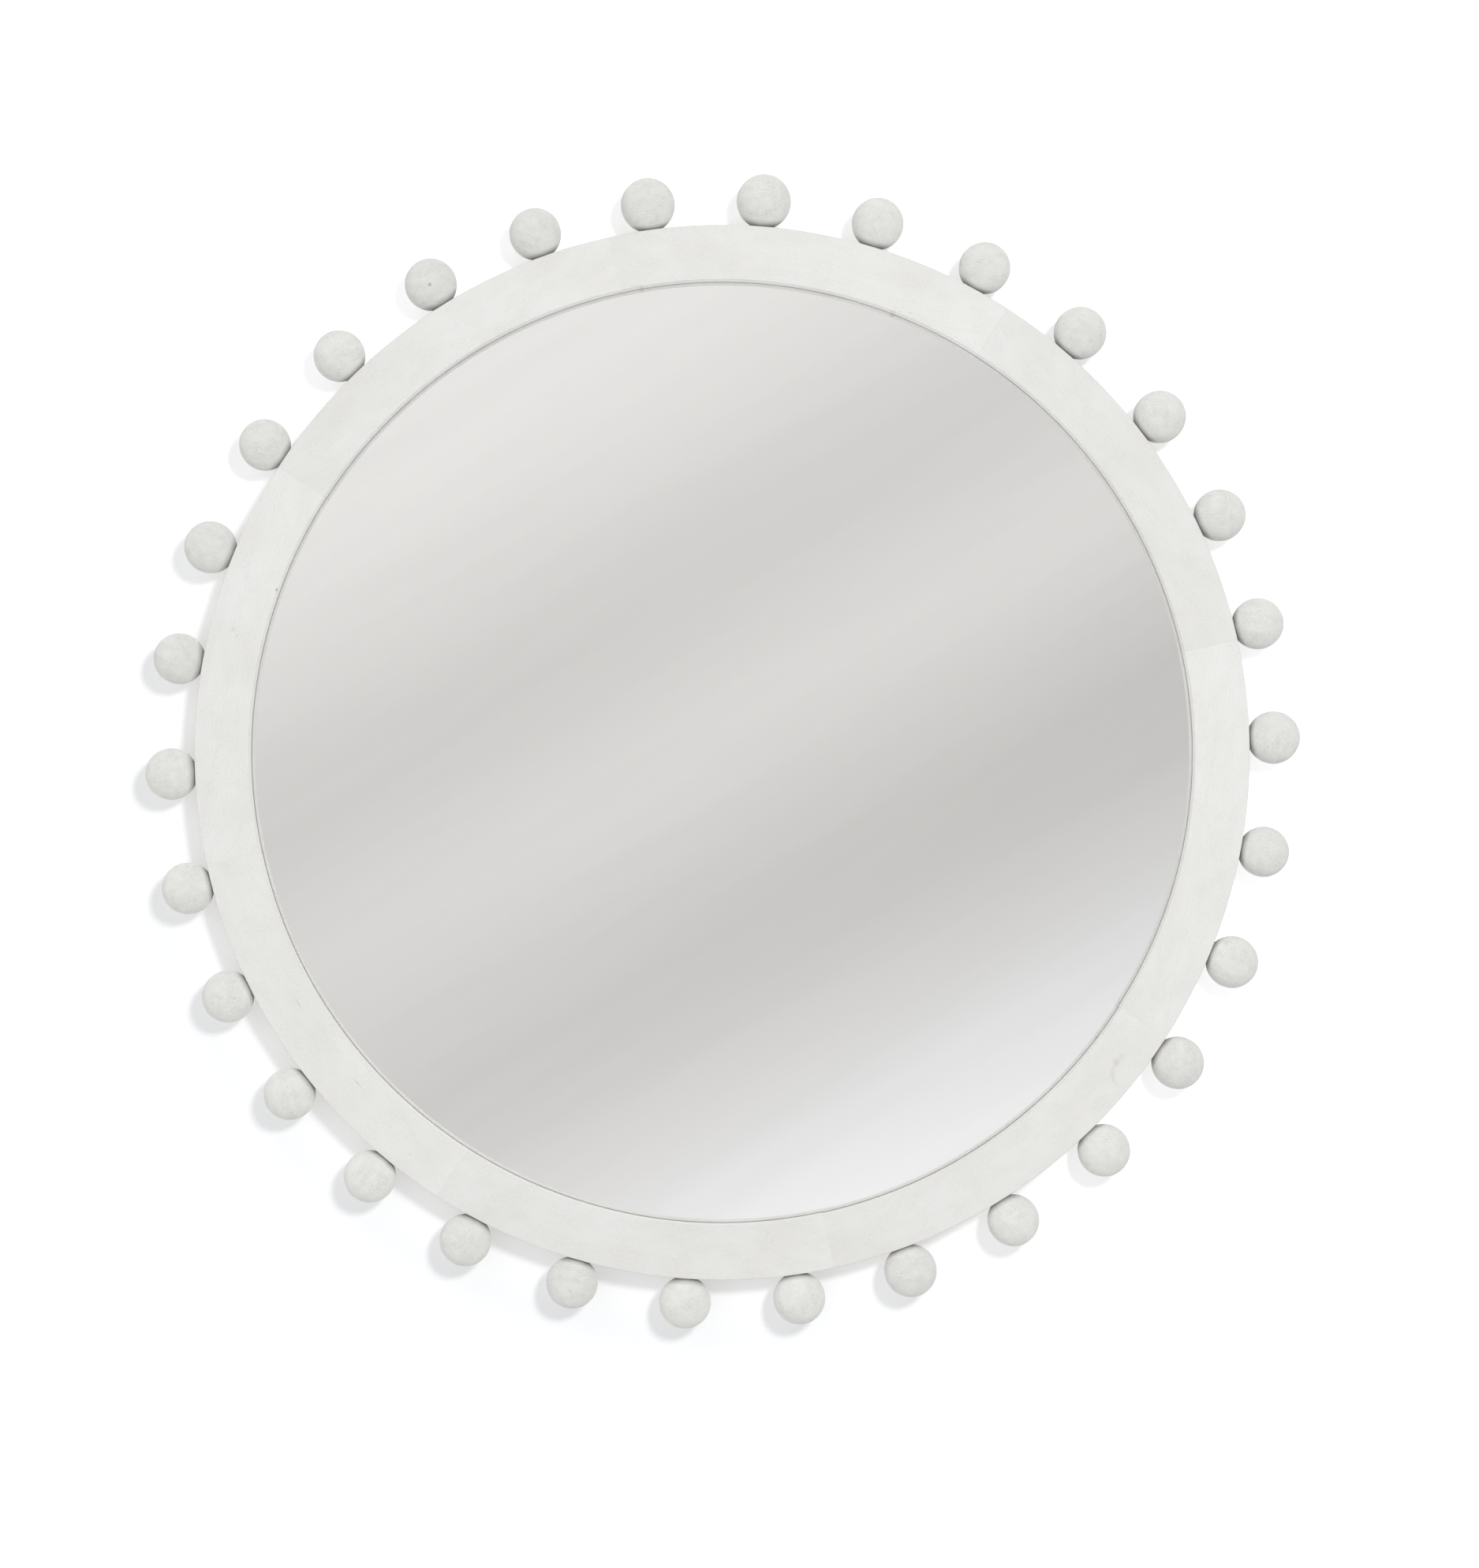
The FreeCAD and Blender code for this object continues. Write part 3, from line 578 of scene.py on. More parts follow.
@dataclass
class Ring:
    """The flat ring: eight wooden segments, butted and glued, with a rabbet behind the lip.

    Attributes:
        outer: radius of the rim, in mm.
        opening: radius of the opening.
        rabbet: radius of the rabbet behind the lip.
        front: depth of the face.
        ledge: depth of the lip's back.
        back: depth of the ring's back.
        edge_round: sanded rounding of the arrises.
        lip_round: rounding of the crisper arris at the opening.
        lip_painted_light: how much whiter the opening's wall is drawn, as painted light that offsets the
            shade falling on it.
        joint_round: rounding where two segments meet.
        sanding: how far hand sanding leaves it out of round.
        first_joint: angle of the first joint.
        steps: slices along a segment.
        boards: the segments in order, counter-clockwise from the first joint.
    """

    outer: float = 508.0
    opening: float = 455.5
    rabbet: float = 465.5
    front: float = -39.0
    ledge: float = -23.0
    back: float = -17.0
    edge_round: float = 1.0
    lip_round: float = 0.4
    lip_painted_light: float = 0.16
    joint_round: float = 0.15
    sanding: float = 0.06
    first_joint: float = 12.3
    steps: int = 72
    # Each board's tone is partly its lime's own and partly painted light that offsets the lamp's falloff.
    boards: tuple[Board, ...] = (
        Board(0.936), Board(0.970, 0.0, 440.2, -0.08), Board(0.989), Board(1.019, 0.2),
        Board(1.027, 0.0, 471.6, -0.029), Board(0.999), Board(0.988, 0.5), Board(0.976))
    pieces: list[bpy.types.Object] = field(default_factory=list)

    def section(self) -> tuple[np.ndarray, np.ndarray, np.ndarray]:
        """The closed outline of a slice, and what goes with each of its points.

        Straight sides run between the corners, and each sanded arris is an arc of its rounding.

        Returns:
            (radius, depth) of each point, the way outward from it, and how worn it is from 0 to 1,
            or -1 on the opening's wall, which is drawn whiter as painted light.
        """
        points, normals, wear = [], [], []

        def arris(radius: float, depth: float, first: float, rubbed: float, size: float) -> None:
            """A corner rounded about a middle, from the direction first through a right angle."""
            for turn in np.radians(np.linspace(first, first + 90, 7)):
                way = np.array((math.cos(turn), math.sin(turn)))
                points.append(np.array((radius, depth)) + size * way)
                normals.append(way)
                wear.append(math.sin(2 * (turn - math.radians(first))) * rubbed)

        def side(start: tuple[float, float], end: tuple[float, float], way: tuple[float, float],
                 *shares: float, worn: float = 0.0) -> None:
            """Points at shares of the way along a straight side."""
            for share in shares:
                points.append(np.array(start) * (1 - share) + np.array(end) * share)
                normals.append(np.array(way))
                wear.append(worn)

        inset, crisp = self.edge_round, self.lip_round
        # The opening's wall is marked -1, and its colour is drawn whiter there: painted light against the
        # shade inside the opening.
        side((self.opening, self.ledge), (self.opening, self.front), (-1, 0), 0.2, 0.6, 0.93, worn=-1.0)
        arris(self.opening + crisp, self.front + crisp, 180.0, 0.05, crisp)
        side((self.opening, self.front), (self.outer, self.front), (0, -1),
             0.035, 0.09, 0.2, 0.35, 0.5, 0.65, 0.8, 0.91, 0.965)
        arris(self.outer - inset, self.front + inset, 270.0, 0.03, inset)
        side((self.outer, self.front), (self.outer, self.back), (1, 0), 0.1, 0.5, 0.9)
        arris(self.outer - inset, self.back - inset, 0.0, 0.3, inset)
        side((self.outer, self.back), (self.rabbet, self.back), (0, 1), 0.1, 0.5, 1.0)
        side((self.rabbet, self.ledge), (self.opening, self.ledge), (0, 1), 0.0, 0.5)
        arris(self.opening + inset, self.ledge - inset, 90.0, 0.0, inset)
        return np.array(points), np.array(normals), np.array(wear)

    def slices(self, start: float, end: float) -> tuple[np.ndarray, np.ndarray]:
        """Where a segment is sliced, and how far each slice shrinks for the rounded joint.

        Args:
            start: angle of its first joint.
            end: angle of its last joint.

        Returns:
            The slices' angles, and their shrinkage in mm.
        """
        nick = math.degrees(self.joint_round / self.opening)
        inner = np.linspace(start + nick, end - nick, self.steps)
        shrinkage = np.zeros(self.steps + 2)
        shrinkage[[0, -1]] = self.joint_round
        return np.concatenate(([start], inner, [end])), shrinkage

    def carve(self, number: int, board: Board) -> bpy.types.Object:
        """Carries the section along one segment's arc.

        Point (i, j) is section point j at angle i. Its radius gains a slow wave from hand sanding
        and, near the opening, the board's own lip shift.

        Args:
            number: the segment's number.
            board: how it differs.

        Returns:
            The piece.
        """
        sweep = 360 / len(self.boards)
        start = self.first_joint + sweep * (number - 1)
        outline, normals, worn = self.section()
        angles, shrinkage = self.slices(start, start + sweep)
        shrunk = outline[None] - normals[None] * shrinkage[:, None, None]
        near_opening = np.clip((self.rabbet - shrunk[..., 0]) / (self.rabbet - self.opening), 0, 1)
        waves = self.sanding * np.sin(np.radians(angles * 11 + number * 70))[:, None]
        radius = shrunk[..., 0] + board.lip_shift * near_opening + waves
        points = on_circle(radius, angles[:, None], shrunk[..., 1]).reshape(-1, 3)
        rows, columns = radius.shape
        last = (rows - 1) * columns
        faces = grid_faces(rows, columns)
        faces.append(tuple(range(columns - 1, -1, -1)))
        faces.append(tuple(range(last, last + columns)))
        piece = make_piece(f"limed_segment_{number}", points, faces)
        self.mark(piece, board, number, points, start + sweep / 2, np.tile(worn, rows))
        return piece

    def mark(self, piece: bpy.types.Object, board: Board, number: int, points: np.ndarray,
             middle: float, worn: np.ndarray) -> None:
        """Stores the grain, the wear, the tone and the glue line for the finish.

        The grain runs along the chord of the segment, so its first coordinate is the distance along
        the chord, its second the distance from the mirror's centre and its third the depth.

        Args:
            piece: the segment.
            board: how it differs.
            number: the segment's number.
            points: its vertices, in mm.
            middle: the angle of its middle.
            worn: how worn each vertex is, or -1 on the opening's wall, which is drawn whiter as painted
                light.
        """
        turn = math.radians(middle)
        outward = points @ np.array((math.cos(turn), 0.0, math.sin(turn)))
        along = points @ np.array((-math.sin(turn), 0.0, math.cos(turn)))
        pith = 395.0 + 13.0 * (number * 5 % 7)
        grain = np.stack((along + 900.0 * number, outward - pith, points[:, 1] + 25.0), axis=1)
        store(piece, "grain", grain)
        store(piece, "wear", np.clip(worn, 0, 1))
        # Painted light: the opening's wall is drawn whiter than the face.
        store(piece, "tone", board.tone * (1 + self.lip_painted_light * np.clip(-worn, 0, 1)))
        off_seam = np.abs(outward - board.seam_at - board.seam_slope * along)
        far = np.full(len(points), FAR_OFF)
        store(piece, "seam", off_seam if board.seam_at else far)
        store(piece, "seat", far)

    def build(self) -> None:
        """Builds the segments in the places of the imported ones."""
        for number, board in enumerate(self.boards, start=1):
            piece = self.carve(number, board)
            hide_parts(f"frame_segment_{number}")
            self.pieces.append(piece)

    def dress(self) -> None:
        """Limes the segments."""
        for piece in self.pieces:
            RING_FINISH.dress(piece)


@dataclass
class Balls:
    """Thirty turned balls, each with a small flat against the rim.

    Attributes:
        count: how many.
        radius: of a ball, in mm.
        seat: depth of its flat.
        rim: radius of the ring that they stand on.
        depth: y value of their centres.
        first: angle of the first ball.
        drift: how far the spacing drifts, in degrees.
        drift_peak: angle where it drifts most.
        spread: how much their sizes differ, as a share.
        swell: height of each of the four slow waves that leave a ball out of round, in mm.
        painted_light_lean: how much lighter the balls at painted_light_side are drawn, as a share of their
            tone: painted light in place of a fill from that side.
        painted_light_side: the angle of those balls.
        larger: balls turned from thicker stock, and how much larger they are, as a share.
        pith_front: balls whose pith comes out at the front.
        around: points round a ball.
        along: points from pole to flat.
    """

    count: int = 30
    radius: float = 25.0
    seat: float = 0.5
    rim: float = 508.0
    depth: float = -28.0
    first: float = 85.9
    drift: float = 0.4
    drift_peak: float = 211.0
    spread: float = 0.008
    swell: float = 0.03
    painted_light_lean: float = 0.035
    painted_light_side: float = 228.0
    larger: dict[int, float] = field(default_factory=lambda: {1: 0.035, 30: 0.035})
    pith_front: tuple[int, ...] = (4, 16, 23)
    around: int = 72
    along: int = 52
    pieces: list[bpy.types.Object] = field(default_factory=list)

    def angle(self, number: int) -> float:
        """Where a ball sits: an even spacing, plus the drift of a hand layout."""
        even = self.first - 360 * (number - 1) / self.count
        return even + self.drift * math.cos(math.radians(even - self.drift_peak))

    def profile(self, radius: float) -> np.ndarray:
        """Half a ball's outline from its outer pole to the middle of its flat.

        The outline is an arc of the radius that ends at the flat, whose edge is broken by 0.25 mm.

        Args:
            radius: of this ball, in mm.

        Returns:
            (height above the flat, distance from the axis) of each point, without the two poles.
        """
        centre = radius - self.seat
        end = math.pi - math.acos(centre / radius)
        turns = np.linspace(0, end - 0.01, self.along + 1)[1:]
        arc = np.stack((centre + radius * np.cos(turns), radius * np.sin(turns)), axis=1)
        flat = math.sqrt(radius ** 2 - centre ** 2)
        rest = np.array(((0.06, flat - 0.08), (0.0, flat - 0.3), (0.0, flat * 0.5)))
        return np.concatenate((arc, rest))

    def turn(self, number: int, random: np.random.Generator) -> bpy.types.Object:
        """Turns one ball.

        Point (i, j) is profile point i turned by j steps about the ball's axis. Its distance from the
        ball's centre then changes by a sum of four slow waves over its direction.

        Args:
            number: the ball's number, clockwise from the top.
            random: where its own chances come from.

        Returns:
            The piece.
        """
        radius = self.radius * (1 + random.normal(0, self.spread) + self.larger.get(number, 0.0))
        profile = self.profile(radius)
        steps = np.radians(np.arange(self.around) * 360 / self.around)
        height = np.repeat(profile[:, :1], self.around, axis=1)
        local = np.stack((height, profile[:, 1:] * np.cos(steps), profile[:, 1:] * np.sin(steps)), axis=-1)
        local = np.concatenate((local.reshape(-1, 3), ((2 * radius - self.seat, 0, 0), (0, 0, 0))))
        from_centre = local - np.array((radius - self.seat, 0.0, 0.0))
        waves = random.normal(0, 2.2, (4, 3)) / radius
        phases = random.uniform(0, 2 * math.pi, 4)
        swell = self.swell * np.sin(from_centre @ waves.T + phases).sum(axis=1)
        above_flat = np.clip(local[:, 0] / 3, 0, 1)
        local = local + from_centre / radius * (swell * above_flat)[:, None]
        faces = grid_faces(len(profile), self.around)
        pole, foot = len(local) - 2, len(local) - 1
        last = (len(profile) - 1) * self.around
        for step in range(self.around):
            after = (step + 1) % self.around
            faces.append((pole, after, step))
            faces.append((foot, last + step, last + after))
        turn = math.radians(self.angle(number))
        axes = np.array(((math.cos(turn), 0, math.sin(turn)), (0, 1, 0),
                         (-math.sin(turn), 0, math.cos(turn))))
        points = local @ axes + on_circle(self.rim, self.angle(number), self.depth)
        piece = make_piece(f"limed_ball_{number:02d}", points, faces, 15.0)
        self.mark(piece, number, points - points.mean(axis=0), local, random)
        return piece

    def mark(self, piece: bpy.types.Object, number: int, points: np.ndarray, local: np.ndarray,
             random: np.random.Generator) -> None:
        """Stores the grain, the tone and the closeness of the seat for the finish.

        The grain runs along the ball's own pith, which lies some way off its centre. Towards the seat the
        colour is drawn dark, partly unlimed wood and partly painted shade of the corner between ball and
        rim.
        It fades with the measure: height above the flat + 0.5 * |depth| + side * side / 200, in mm, times
        a chance of the ball's own.

        Args:
            piece: the ball.
            number: its number.
            points: its vertices from its centre, in mm.
            local: its vertices as height above the flat, depth and side, in mm.
            random: where its own chances come from.
        """
        pith = random.normal(0, 1, 3)
        offset = random.uniform(9, 40)
        if number in self.pith_front:
            pith = np.array((random.uniform(-0.25, 0.25), -1.0, random.uniform(-0.3, 0.1)))
            offset = random.uniform(1, 5)
        pith = pith / np.linalg.norm(pith)
        across = np.cross(pith, random.normal(0, 1, 3))
        across = across / np.linalg.norm(across)
        axes = np.stack((pith, across, np.cross(pith, across)), axis=1)
        grain = points @ axes + np.array((200.0 * number, offset, 0.0))
        store(piece, "grain", grain)
        store(piece, "wear", np.zeros(len(points)))
        # Painted light: the balls towards the lower left are drawn lighter, as a fill from there would
        # light them.
        lean = self.painted_light_lean * math.cos(math.radians(self.angle(number) - self.painted_light_side))
        store(piece, "tone", np.full(len(points), 1 + lean + random.uniform(-0.025, 0.025)))
        store(piece, "seam", np.full(len(points), FAR_OFF))
        # This measure sets the dark colour at the seat: unlimed wood and painted shade of the corner.
        seat = local[:, 0] + 0.5 * np.abs(local[:, 1]) + local[:, 2] ** 2 / 200
        store(piece, "seat", seat * random.uniform(0.9, 1.12))

    def build(self) -> None:
        """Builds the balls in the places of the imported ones."""
        random = np.random.default_rng(30)
        for number in range(1, self.count + 1):
            piece = self.turn(number, random)
            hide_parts(f"ball_{number:02d}")
            self.pieces.append(piece)

    def dress(self) -> None:
        """Limes the balls."""
        for piece in self.pieces:
            BALL_FINISH.dress(piece)


@dataclass
class Glazing:
    """The mirror glass and its silver coat.

    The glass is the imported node. The coat is a thin disc just inside its back face, with silver to the
    front and backing paint behind.

    Attributes:
        radius: of the coat, which stops short of the ground edge, in mm.
        inner: radius of the ring of points between its middle and its edge.
        front: depth of the silver.
        back: depth of the paint's face.
        steps: points round it.
    """

    radius: float = 464.0
    inner: float = 232.0
    front: float = -19.06
    back: float = -18.98
    steps: int = 256
    coat: bpy.types.Object | None = None

    def build(self) -> None:
        """Builds the coat: rings of points from the middle of its front round its edge to its back."""
        radii = np.array((self.inner, self.radius, self.radius, self.inner))[:, None]
        depths = np.array((self.front, self.front, self.back, self.back))[:, None]
        angles = np.arange(self.steps)[None] * 360 / self.steps
        points = on_circle(radii, angles, depths).reshape(-1, 3)
        points = np.concatenate((points, ((0, self.front, 0), (0, self.back, 0))))
        faces = grid_faces(len(radii), self.steps)
        middle, last = len(points) - 2, (len(radii) - 1) * self.steps
        for step in range(self.steps):
            after = (step + 1) % self.steps
            faces.append((middle, after, step))
            faces.append((middle + 1, last + step, last + after))
        self.coat = make_piece("silver_coat", points, faces)

    def dress(self) -> None:
        """Silvers the coat's front, paints the rest and clears the glass."""
        GLASS_FINISH.dress(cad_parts["mirror_glass"])
        SILVER_FINISH.dress(self.coat)
        self.coat.data.materials.append(BACKING_FINISH.material())
        for face in self.coat.data.polygons:
            face.material_index = 0 if face.normal.y < -0.5 else 1


@dataclass
class Backing:
    """What holds the mirror together and hangs it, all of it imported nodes.

    Attributes:
        finishes: the finish of each node.
    """

    finishes: dict[str, Finish] = field(default_factory=lambda: {
        "back_panel": BOARD_FINISH, "segment_tenons": BEECH_FINISH, "ball_dowels": BEECH_FINISH,
        "foam_pads": FOAM_FINISH, "panel_screws": ZINC_FINISH, "bumper_screws": ZINC_FINISH,
        "hanger_screws": ZINC_FINISH, "left_hanger_strap": ZINC_FINISH, "right_hanger_strap": ZINC_FINISH,
        "left_hanger_ring": ZINC_FINISH, "right_hanger_ring": ZINC_FINISH,
        **{f"wall_bumper_{number}": RUBBER_FINISH for number in range(1, 5)}})

    def dress(self) -> None:
        """Gives each node its finish."""
        for node, finish in self.finishes.items():
            finish.dress(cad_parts[node])


@dataclass
class Studio:
    """The white wall, the pale floor, the soft light and the camera.

    Attributes:
        face: depth of the ring's face, where the photograph's scale is measured, in m.
        distance: from the camera to that face.
        view_height: height of the photograph's frame there.
        image: width and height of the photograph, in pixels.
        centre: where the mirror's centre is in it.
        lamp_way: from the mirror to the lamp.
        lamp_distance: in m.
        lamp_width: across the lamp, in m.
        lamp_power: in W.
        fill: strength of the light from all round.
        fill_lean: how much more of it comes from the right and from above, as shares: below zero,
            more comes from the left.
        floor: height of the floor.
        wall_own: the part of the wall's white that is its own.
        wall_lit: the part that the light gives it.
        painted_wall_light: (angle, strength, narrowness) of pools of painted light, where the wall's own
            white is raised round the mirror.
        wall_zones: (from, to, strength at the one, strength at the other) of distances from the
            mirror's centre, in m, over which the wall's own white changes.
        wall_depth: how far the wall sheet lies behind the bumpers, in m.
        reach: half the width of the sheets, in m.
        bands: (place, colour) of the studio's soft bands in the mirror, upper left to lower right.
        bands_rise: how steeply they rise to the right, in degrees.
        slope_limit: the steepest slope that the mirror shows.
    """

    face: float = -0.039
    distance: float = 2.7
    view_height: float = 1.5093
    image: tuple[int, int] = (1875, 1988)
    centre: tuple[float, float] = (915.5, 953.95)
    lamp_way: tuple[float, float, float] = (0.316, -0.894, 0.316)
    lamp_distance: float = 3.5
    lamp_width: float = 0.55
    lamp_power: float = 42.5
    fill: float = 0.72
    fill_lean: tuple[float, float] = (-0.26, 0.04)
    floor: float = -1.2
    wall_own: float = 0.10
    wall_lit: float = 0.93
    painted_wall_light: tuple[tuple[float, float, float], ...] = ((45.0, 0.12, 1.0), (-18.0, 0.24, 3.0),
                                                          (88.0, 0.05, 12.0), (131.0, 0.16, 9.0))
    wall_zones: tuple[tuple[float, float, float, float], ...] = (
        (0.52, 0.57, 0.085, 0.0), (0.575, 0.63, 0.0, 0.025), (0.58, 1.1, 0.0, 0.2))
    wall_depth: float = 0.0006
    reach: float = 6.0
    bands: tuple[tuple[float, str], ...] = (
        (0.0, "#F4F1F0"), (0.106, "#F2EFEE"), (0.162, "#F0EDEC"), (0.275, "#E3E0DF"),
        (0.349, "#DBD8D7"), (0.416, "#DFDCDB"), (0.482, "#E4E1E0"), (0.542, "#DEDBDA"),
        (0.606, "#D6D3D2"), (0.658, "#D3D0CF"), (0.725, "#DAD7D7"), (0.81, "#E8E6E7"),
        (0.894, "#F7F5F7"), (1.0, "#FAF8FA"))
    bands_rise: float = 31.0
    slope_limit: float = 0.2

    def place_camera(self) -> None:
        """Stands the camera on the mirror's axis, shifted as little as the frame needs."""
        data = bpy.data.cameras.new("camera")
        data.lens = data.sensor_width * self.distance / self.view_height
        longest = max(self.image)
        data.shift_x = (self.image[0] / 2 - self.centre[0]) / longest
        data.shift_y = (self.centre[1] - self.image[1] / 2) / longest
        camera = bpy.data.objects.new("camera", data)
        camera.location = (0.0, self.face - self.distance, 0.0)
        camera.rotation_euler = (math.radians(90), 0.0, 0.0)
        bpy.context.scene.collection.objects.link(camera)
        bpy.context.scene.camera = camera

    def place_lamp(self) -> None:
        """Hangs one round soft lamp at the upper right, in front of the mirror."""
        data = bpy.data.lights.new("soft_lamp", "AREA")
        data.shape = "DISK"
        data.size = self.lamp_width
        data.energy = self.lamp_power
        lamp = bpy.data.objects.new("soft_lamp", data)
        way = Vector(self.lamp_way).normalized()
        lamp.location = way * self.lamp_distance
        lamp.rotation_euler = (-way).to_track_quat("-Z", "Y").to_euler()
        lamp.visible_glossy = False
        lamp.visible_transmission = False
        bpy.context.scene.collection.objects.link(lamp)

    def lay_sheet(self, name: str, corners: list[tuple[float, float, float]]) -> None:
        """Lays a white sheet that only the camera sees, and only from its front.

        Its colour is part of its own and part the light that falls on it, so that it renders white
        and still takes the object's shadow.

        Args:
            name: the sheet's name.
            corners: its four corners, in m, counter-clockwise seen from its front.
        """
        mesh = bpy.data.meshes.new(name)
        mesh.from_pydata(corners, [], [(0, 1, 2, 3)])
        sheet = bpy.data.objects.new(name, mesh)
        bpy.context.scene.collection.objects.link(sheet)
        material = bpy.data.materials.new(name)
        material.use_nodes = True
        tree = material.node_tree
        tree.nodes.clear()
        tint = (self.wall_lit, 1.008 * self.wall_lit, 1.022 * self.wall_lit, 1.0)
        lit = add_node(tree, "BsdfDiffuse", {"Color": tint})
        place = add_node(tree, "TexCoord").outputs["Object"]
        way = add_node(tree, "VectorMath", {0: place}, operation="NORMALIZE").outputs["Vector"]
        strength = self.wall_own
        # Painted light: pools of extra white on the wall at these angles round the mirror.
        for angle, gain, narrowness in self.painted_wall_light:
            spot = tuple(on_circle(1.0, angle, 0.0).tolist())
            close = add_node(tree, "VectorMath", {0: way, 1: spot}, operation="DOT_PRODUCT")
            close = add_node(tree, "Math", {0: close.outputs["Value"], 1: 0.0}, operation="MAXIMUM")
            bright = add_node(tree, "Math", {0: close.outputs[0], 1: narrowness}, operation="POWER")
            strength = add_node(tree, "Math", {0: bright.outputs[0], 1: gain, 2: strength},
                                operation="MULTIPLY_ADD").outputs[0]
        # The sheet's own white makes up for the light that the rim takes next to it, and that falls
        # off far from the mirror.
        apart = add_node(tree, "VectorMath", {0: place}, operation="LENGTH").outputs["Value"]
        for first, last, start, end in self.wall_zones:
            more = add_node(tree, "MapRange", {0: apart, 1: first, 2: last, 3: start, 4: end})
            strength = add_node(tree, "Math", {0: more.outputs["Result"], 1: strength},
                                operation="ADD").outputs[0]
        own = add_node(tree, "Emission", {"Color": (0.985, 0.99, 1.0, 1.0), "Strength": strength})
        both = add_node(tree, "AddShader", {0: lit.outputs[0], 1: own.outputs[0]})
        seen = add_node(tree, "LightPath").outputs["Is Camera Ray"]
        behind = add_node(tree, "NewGeometry").outputs["Backfacing"]
        facing = add_node(tree, "Math", {0: seen, 1: behind}, operation="SUBTRACT", use_clamp=True)
        clear = add_node(tree, "BsdfTransparent")
        mixed = add_node(tree, "MixShader", {0: facing.outputs[0], 1: clear.outputs[0],
                                             2: both.outputs[0]})
        add_node(tree, "OutputMaterial", {"Surface": mixed.outputs[0]})
        mesh.materials.append(material)

    def light_world(self) -> None:
        """Lights the object evenly from all round, before a white background.

        The mirror shows a dim studio: soft bands that rise to the right, as a function of the
        direction's slope down their normal, s = (x sin r - z cos r) / -y, where r is their rise. Along
        them the slope is t = (x cos r + z sin r) / -y, and their light changes by the factor
        1 - 7.1 t (s - 0.017), where the last bracket stays within -0.012 and 0.07.
        """
        world = bpy.data.worlds.new("studio")
        bpy.context.scene.world = world
        world.use_nodes = True
        tree = world.node_tree
        tree.nodes.clear()
        ways = add_node(tree, "TexCoord").outputs["Generated"]
        depth = add_node(tree, "VectorMath", {0: ways, 1: (0.0, -1.0, 0.0)}, operation="DOT_PRODUCT")
        depth = add_node(tree, "Math", {0: depth.outputs["Value"], 1: 0.05}, operation="MAXIMUM")
        depth = depth.outputs[0]

        def slope(way: tuple[float, float, float]) -> Socket:
            """The direction's slope along a way in the mirror's plane, held to what the mirror shows."""
            part = add_node(tree, "VectorMath", {0: ways, 1: way}, operation="DOT_PRODUCT")
            ratio = add_node(tree, "Math", {0: part.outputs["Value"], 1: depth}, operation="DIVIDE")
            return add_node(tree, "Clamp", {0: ratio.outputs[0], 1: -self.slope_limit,
                                            2: self.slope_limit}).outputs[0]

        rise = math.radians(self.bands_rise)
        down = slope((math.sin(rise), 0.0, -math.cos(rise)))
        along = slope((math.cos(rise), 0.0, math.sin(rise)))
        place = add_node(tree, "MapRange", {0: down, 1: -self.slope_limit, 2: self.slope_limit, 3: 0.0,
                                            4: 1.0}).outputs["Result"]
        ramp = add_node(tree, "ValToRGB", {0: place})
        ramp.color_ramp.interpolation = "CARDINAL"
        set_ramp(ramp, [(stop, linear(colour)) for stop, colour in self.bands])
        lean = add_node(tree, "MapRange", {0: down, 1: 0.005, 2: 0.087, 3: -0.012, 4: 0.07})
        lean = add_node(tree, "Math", {0: lean.outputs["Result"], 1: along}, operation="MULTIPLY")
        lean = add_node(tree, "Math", {0: lean.outputs[0], 1: -7.1, 2: 1.0}, operation="MULTIPLY_ADD")
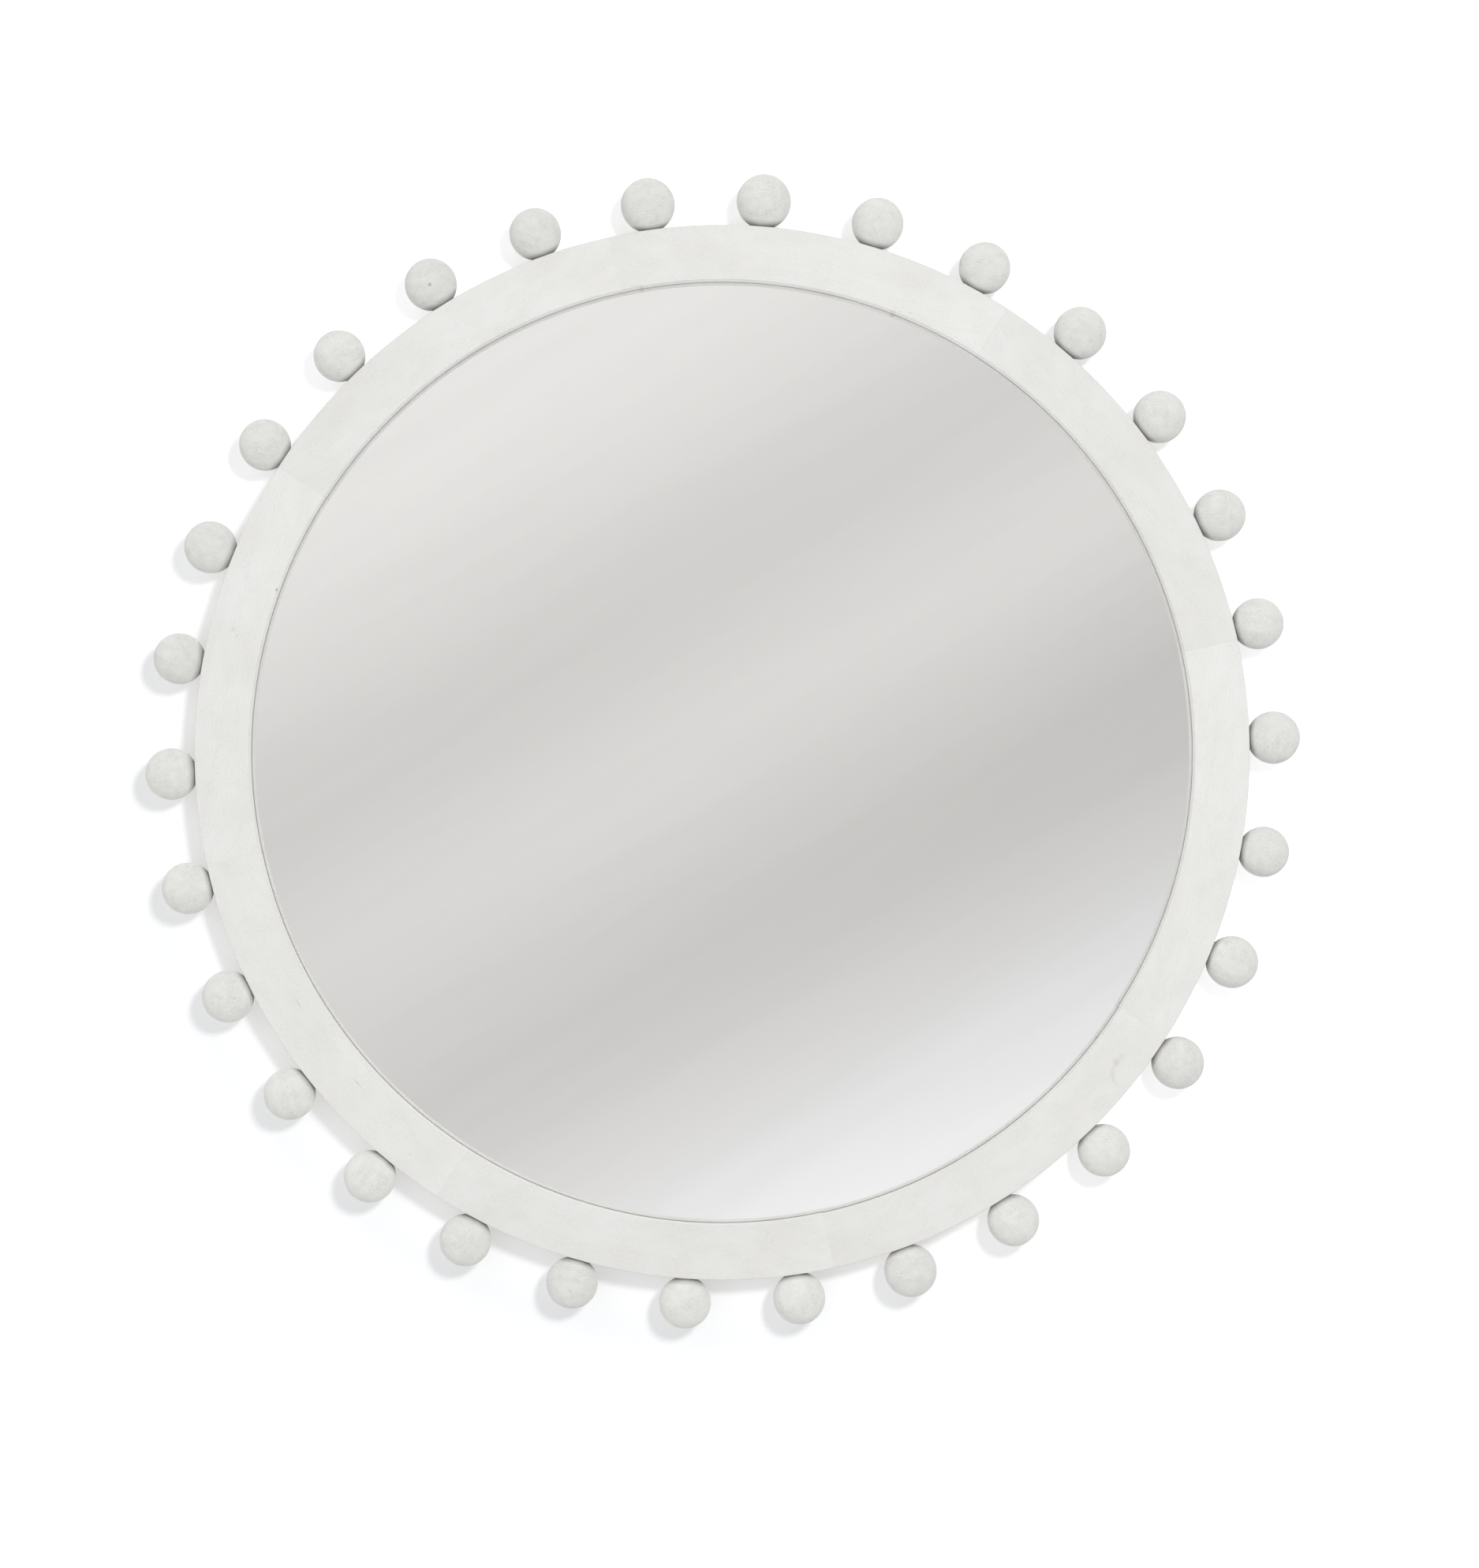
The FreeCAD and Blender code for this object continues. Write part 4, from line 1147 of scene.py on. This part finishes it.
        # Fine streaks run along the bands, no stronger than 1.5 percent.
        spread = add_node(tree, "CombineXYZ", {0: down, 1: along}).outputs[0]
        drawn = add_node(tree, "VectorMath", {0: spread, 1: (140.0, 9.0, 1.0)}, operation="MULTIPLY")
        fine = add_node(tree, "TexNoise", {"Vector": drawn.outputs["Vector"], "Scale": 1.0,
                                           "Detail": 2.0}).outputs["Fac"]
        streaks = add_node(tree, "MapRange", {0: fine, 1: 0.25, 2: 0.75, 3: 0.985, 4: 1.015})
        lean = add_node(tree, "Math", {0: lean.outputs[0], 1: streaks.outputs["Result"]},
                        operation="MULTIPLY")
        rays = add_node(tree, "LightPath").outputs
        mirrored = add_node(tree, "Math", {0: rays["Is Glossy Ray"], 1: rays["Is Transmission Ray"]},
                            operation="MAXIMUM")
        tilt = (self.fill_lean[0] * self.fill, 0.0, self.fill_lean[1] * self.fill)
        leaning = add_node(tree, "VectorMath", {0: ways, 1: tilt}, operation="DOT_PRODUCT")
        filled = add_node(tree, "Math", {0: leaning.outputs["Value"], 1: self.fill}, operation="ADD")
        soft = add_node(tree, "Background", {"Color": (1.0, 1.0, 1.0, 1.0), "Strength": filled.outputs[0]})
        studio = add_node(tree, "Background", {"Color": ramp.outputs[0],
                                               "Strength": lean.outputs[0]})
        white = add_node(tree, "Background", {"Color": (1.0, 1.0, 1.0, 1.0), "Strength": 1.0})
        mixed = add_node(tree, "MixShader", {0: mirrored.outputs[0], 1: soft.outputs[0],
                                             2: studio.outputs[0]})
        mixed = add_node(tree, "MixShader", {0: rays["Is Camera Ray"], 1: mixed.outputs[0],
                                             2: white.outputs[0]})
        add_node(tree, "OutputWorld", {"Surface": mixed.outputs[0]})

    def build(self) -> None:
        """Sets everything up."""
        self.place_camera()
        self.place_lamp()
        self.light_world()
        reach, wall = self.reach, self.wall_depth
        self.lay_sheet("wall", [(-reach, wall, self.floor), (reach, wall, self.floor),
                                (reach, wall, reach), (-reach, wall, reach)])
        self.lay_sheet("floor", [(-reach, -reach, self.floor), (reach, -reach, self.floor),
                                 (reach, reach, self.floor), (-reach, reach, self.floor)])
        bpy.context.scene.view_settings.view_transform = "Standard"
        # Light that the mirror throws on its lip stays sharp and isn't lost in the glass.
        bpy.context.scene.cycles.blur_glossy = 0.0


def main() -> None:
    """Builds and dresses the mirror, and reports each piece."""
    logging.basicConfig(level=logging.INFO, format="%(name)s: %(message)s")
    Studio().build()
    ring, balls, glazing, backing = Ring(), Balls(), Glazing(), Backing()
    for part in (ring, balls, glazing):
        part.build()
    for part in (ring, balls, glazing, backing):
        part.dress()
    for piece in (*ring.pieces, *balls.pieces, glazing.coat):
        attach(piece, "mirror")
        LOG.info("%s: %d faces", piece.name, len(piece.data.polygons))


if __name__ == "__main__":
    main()
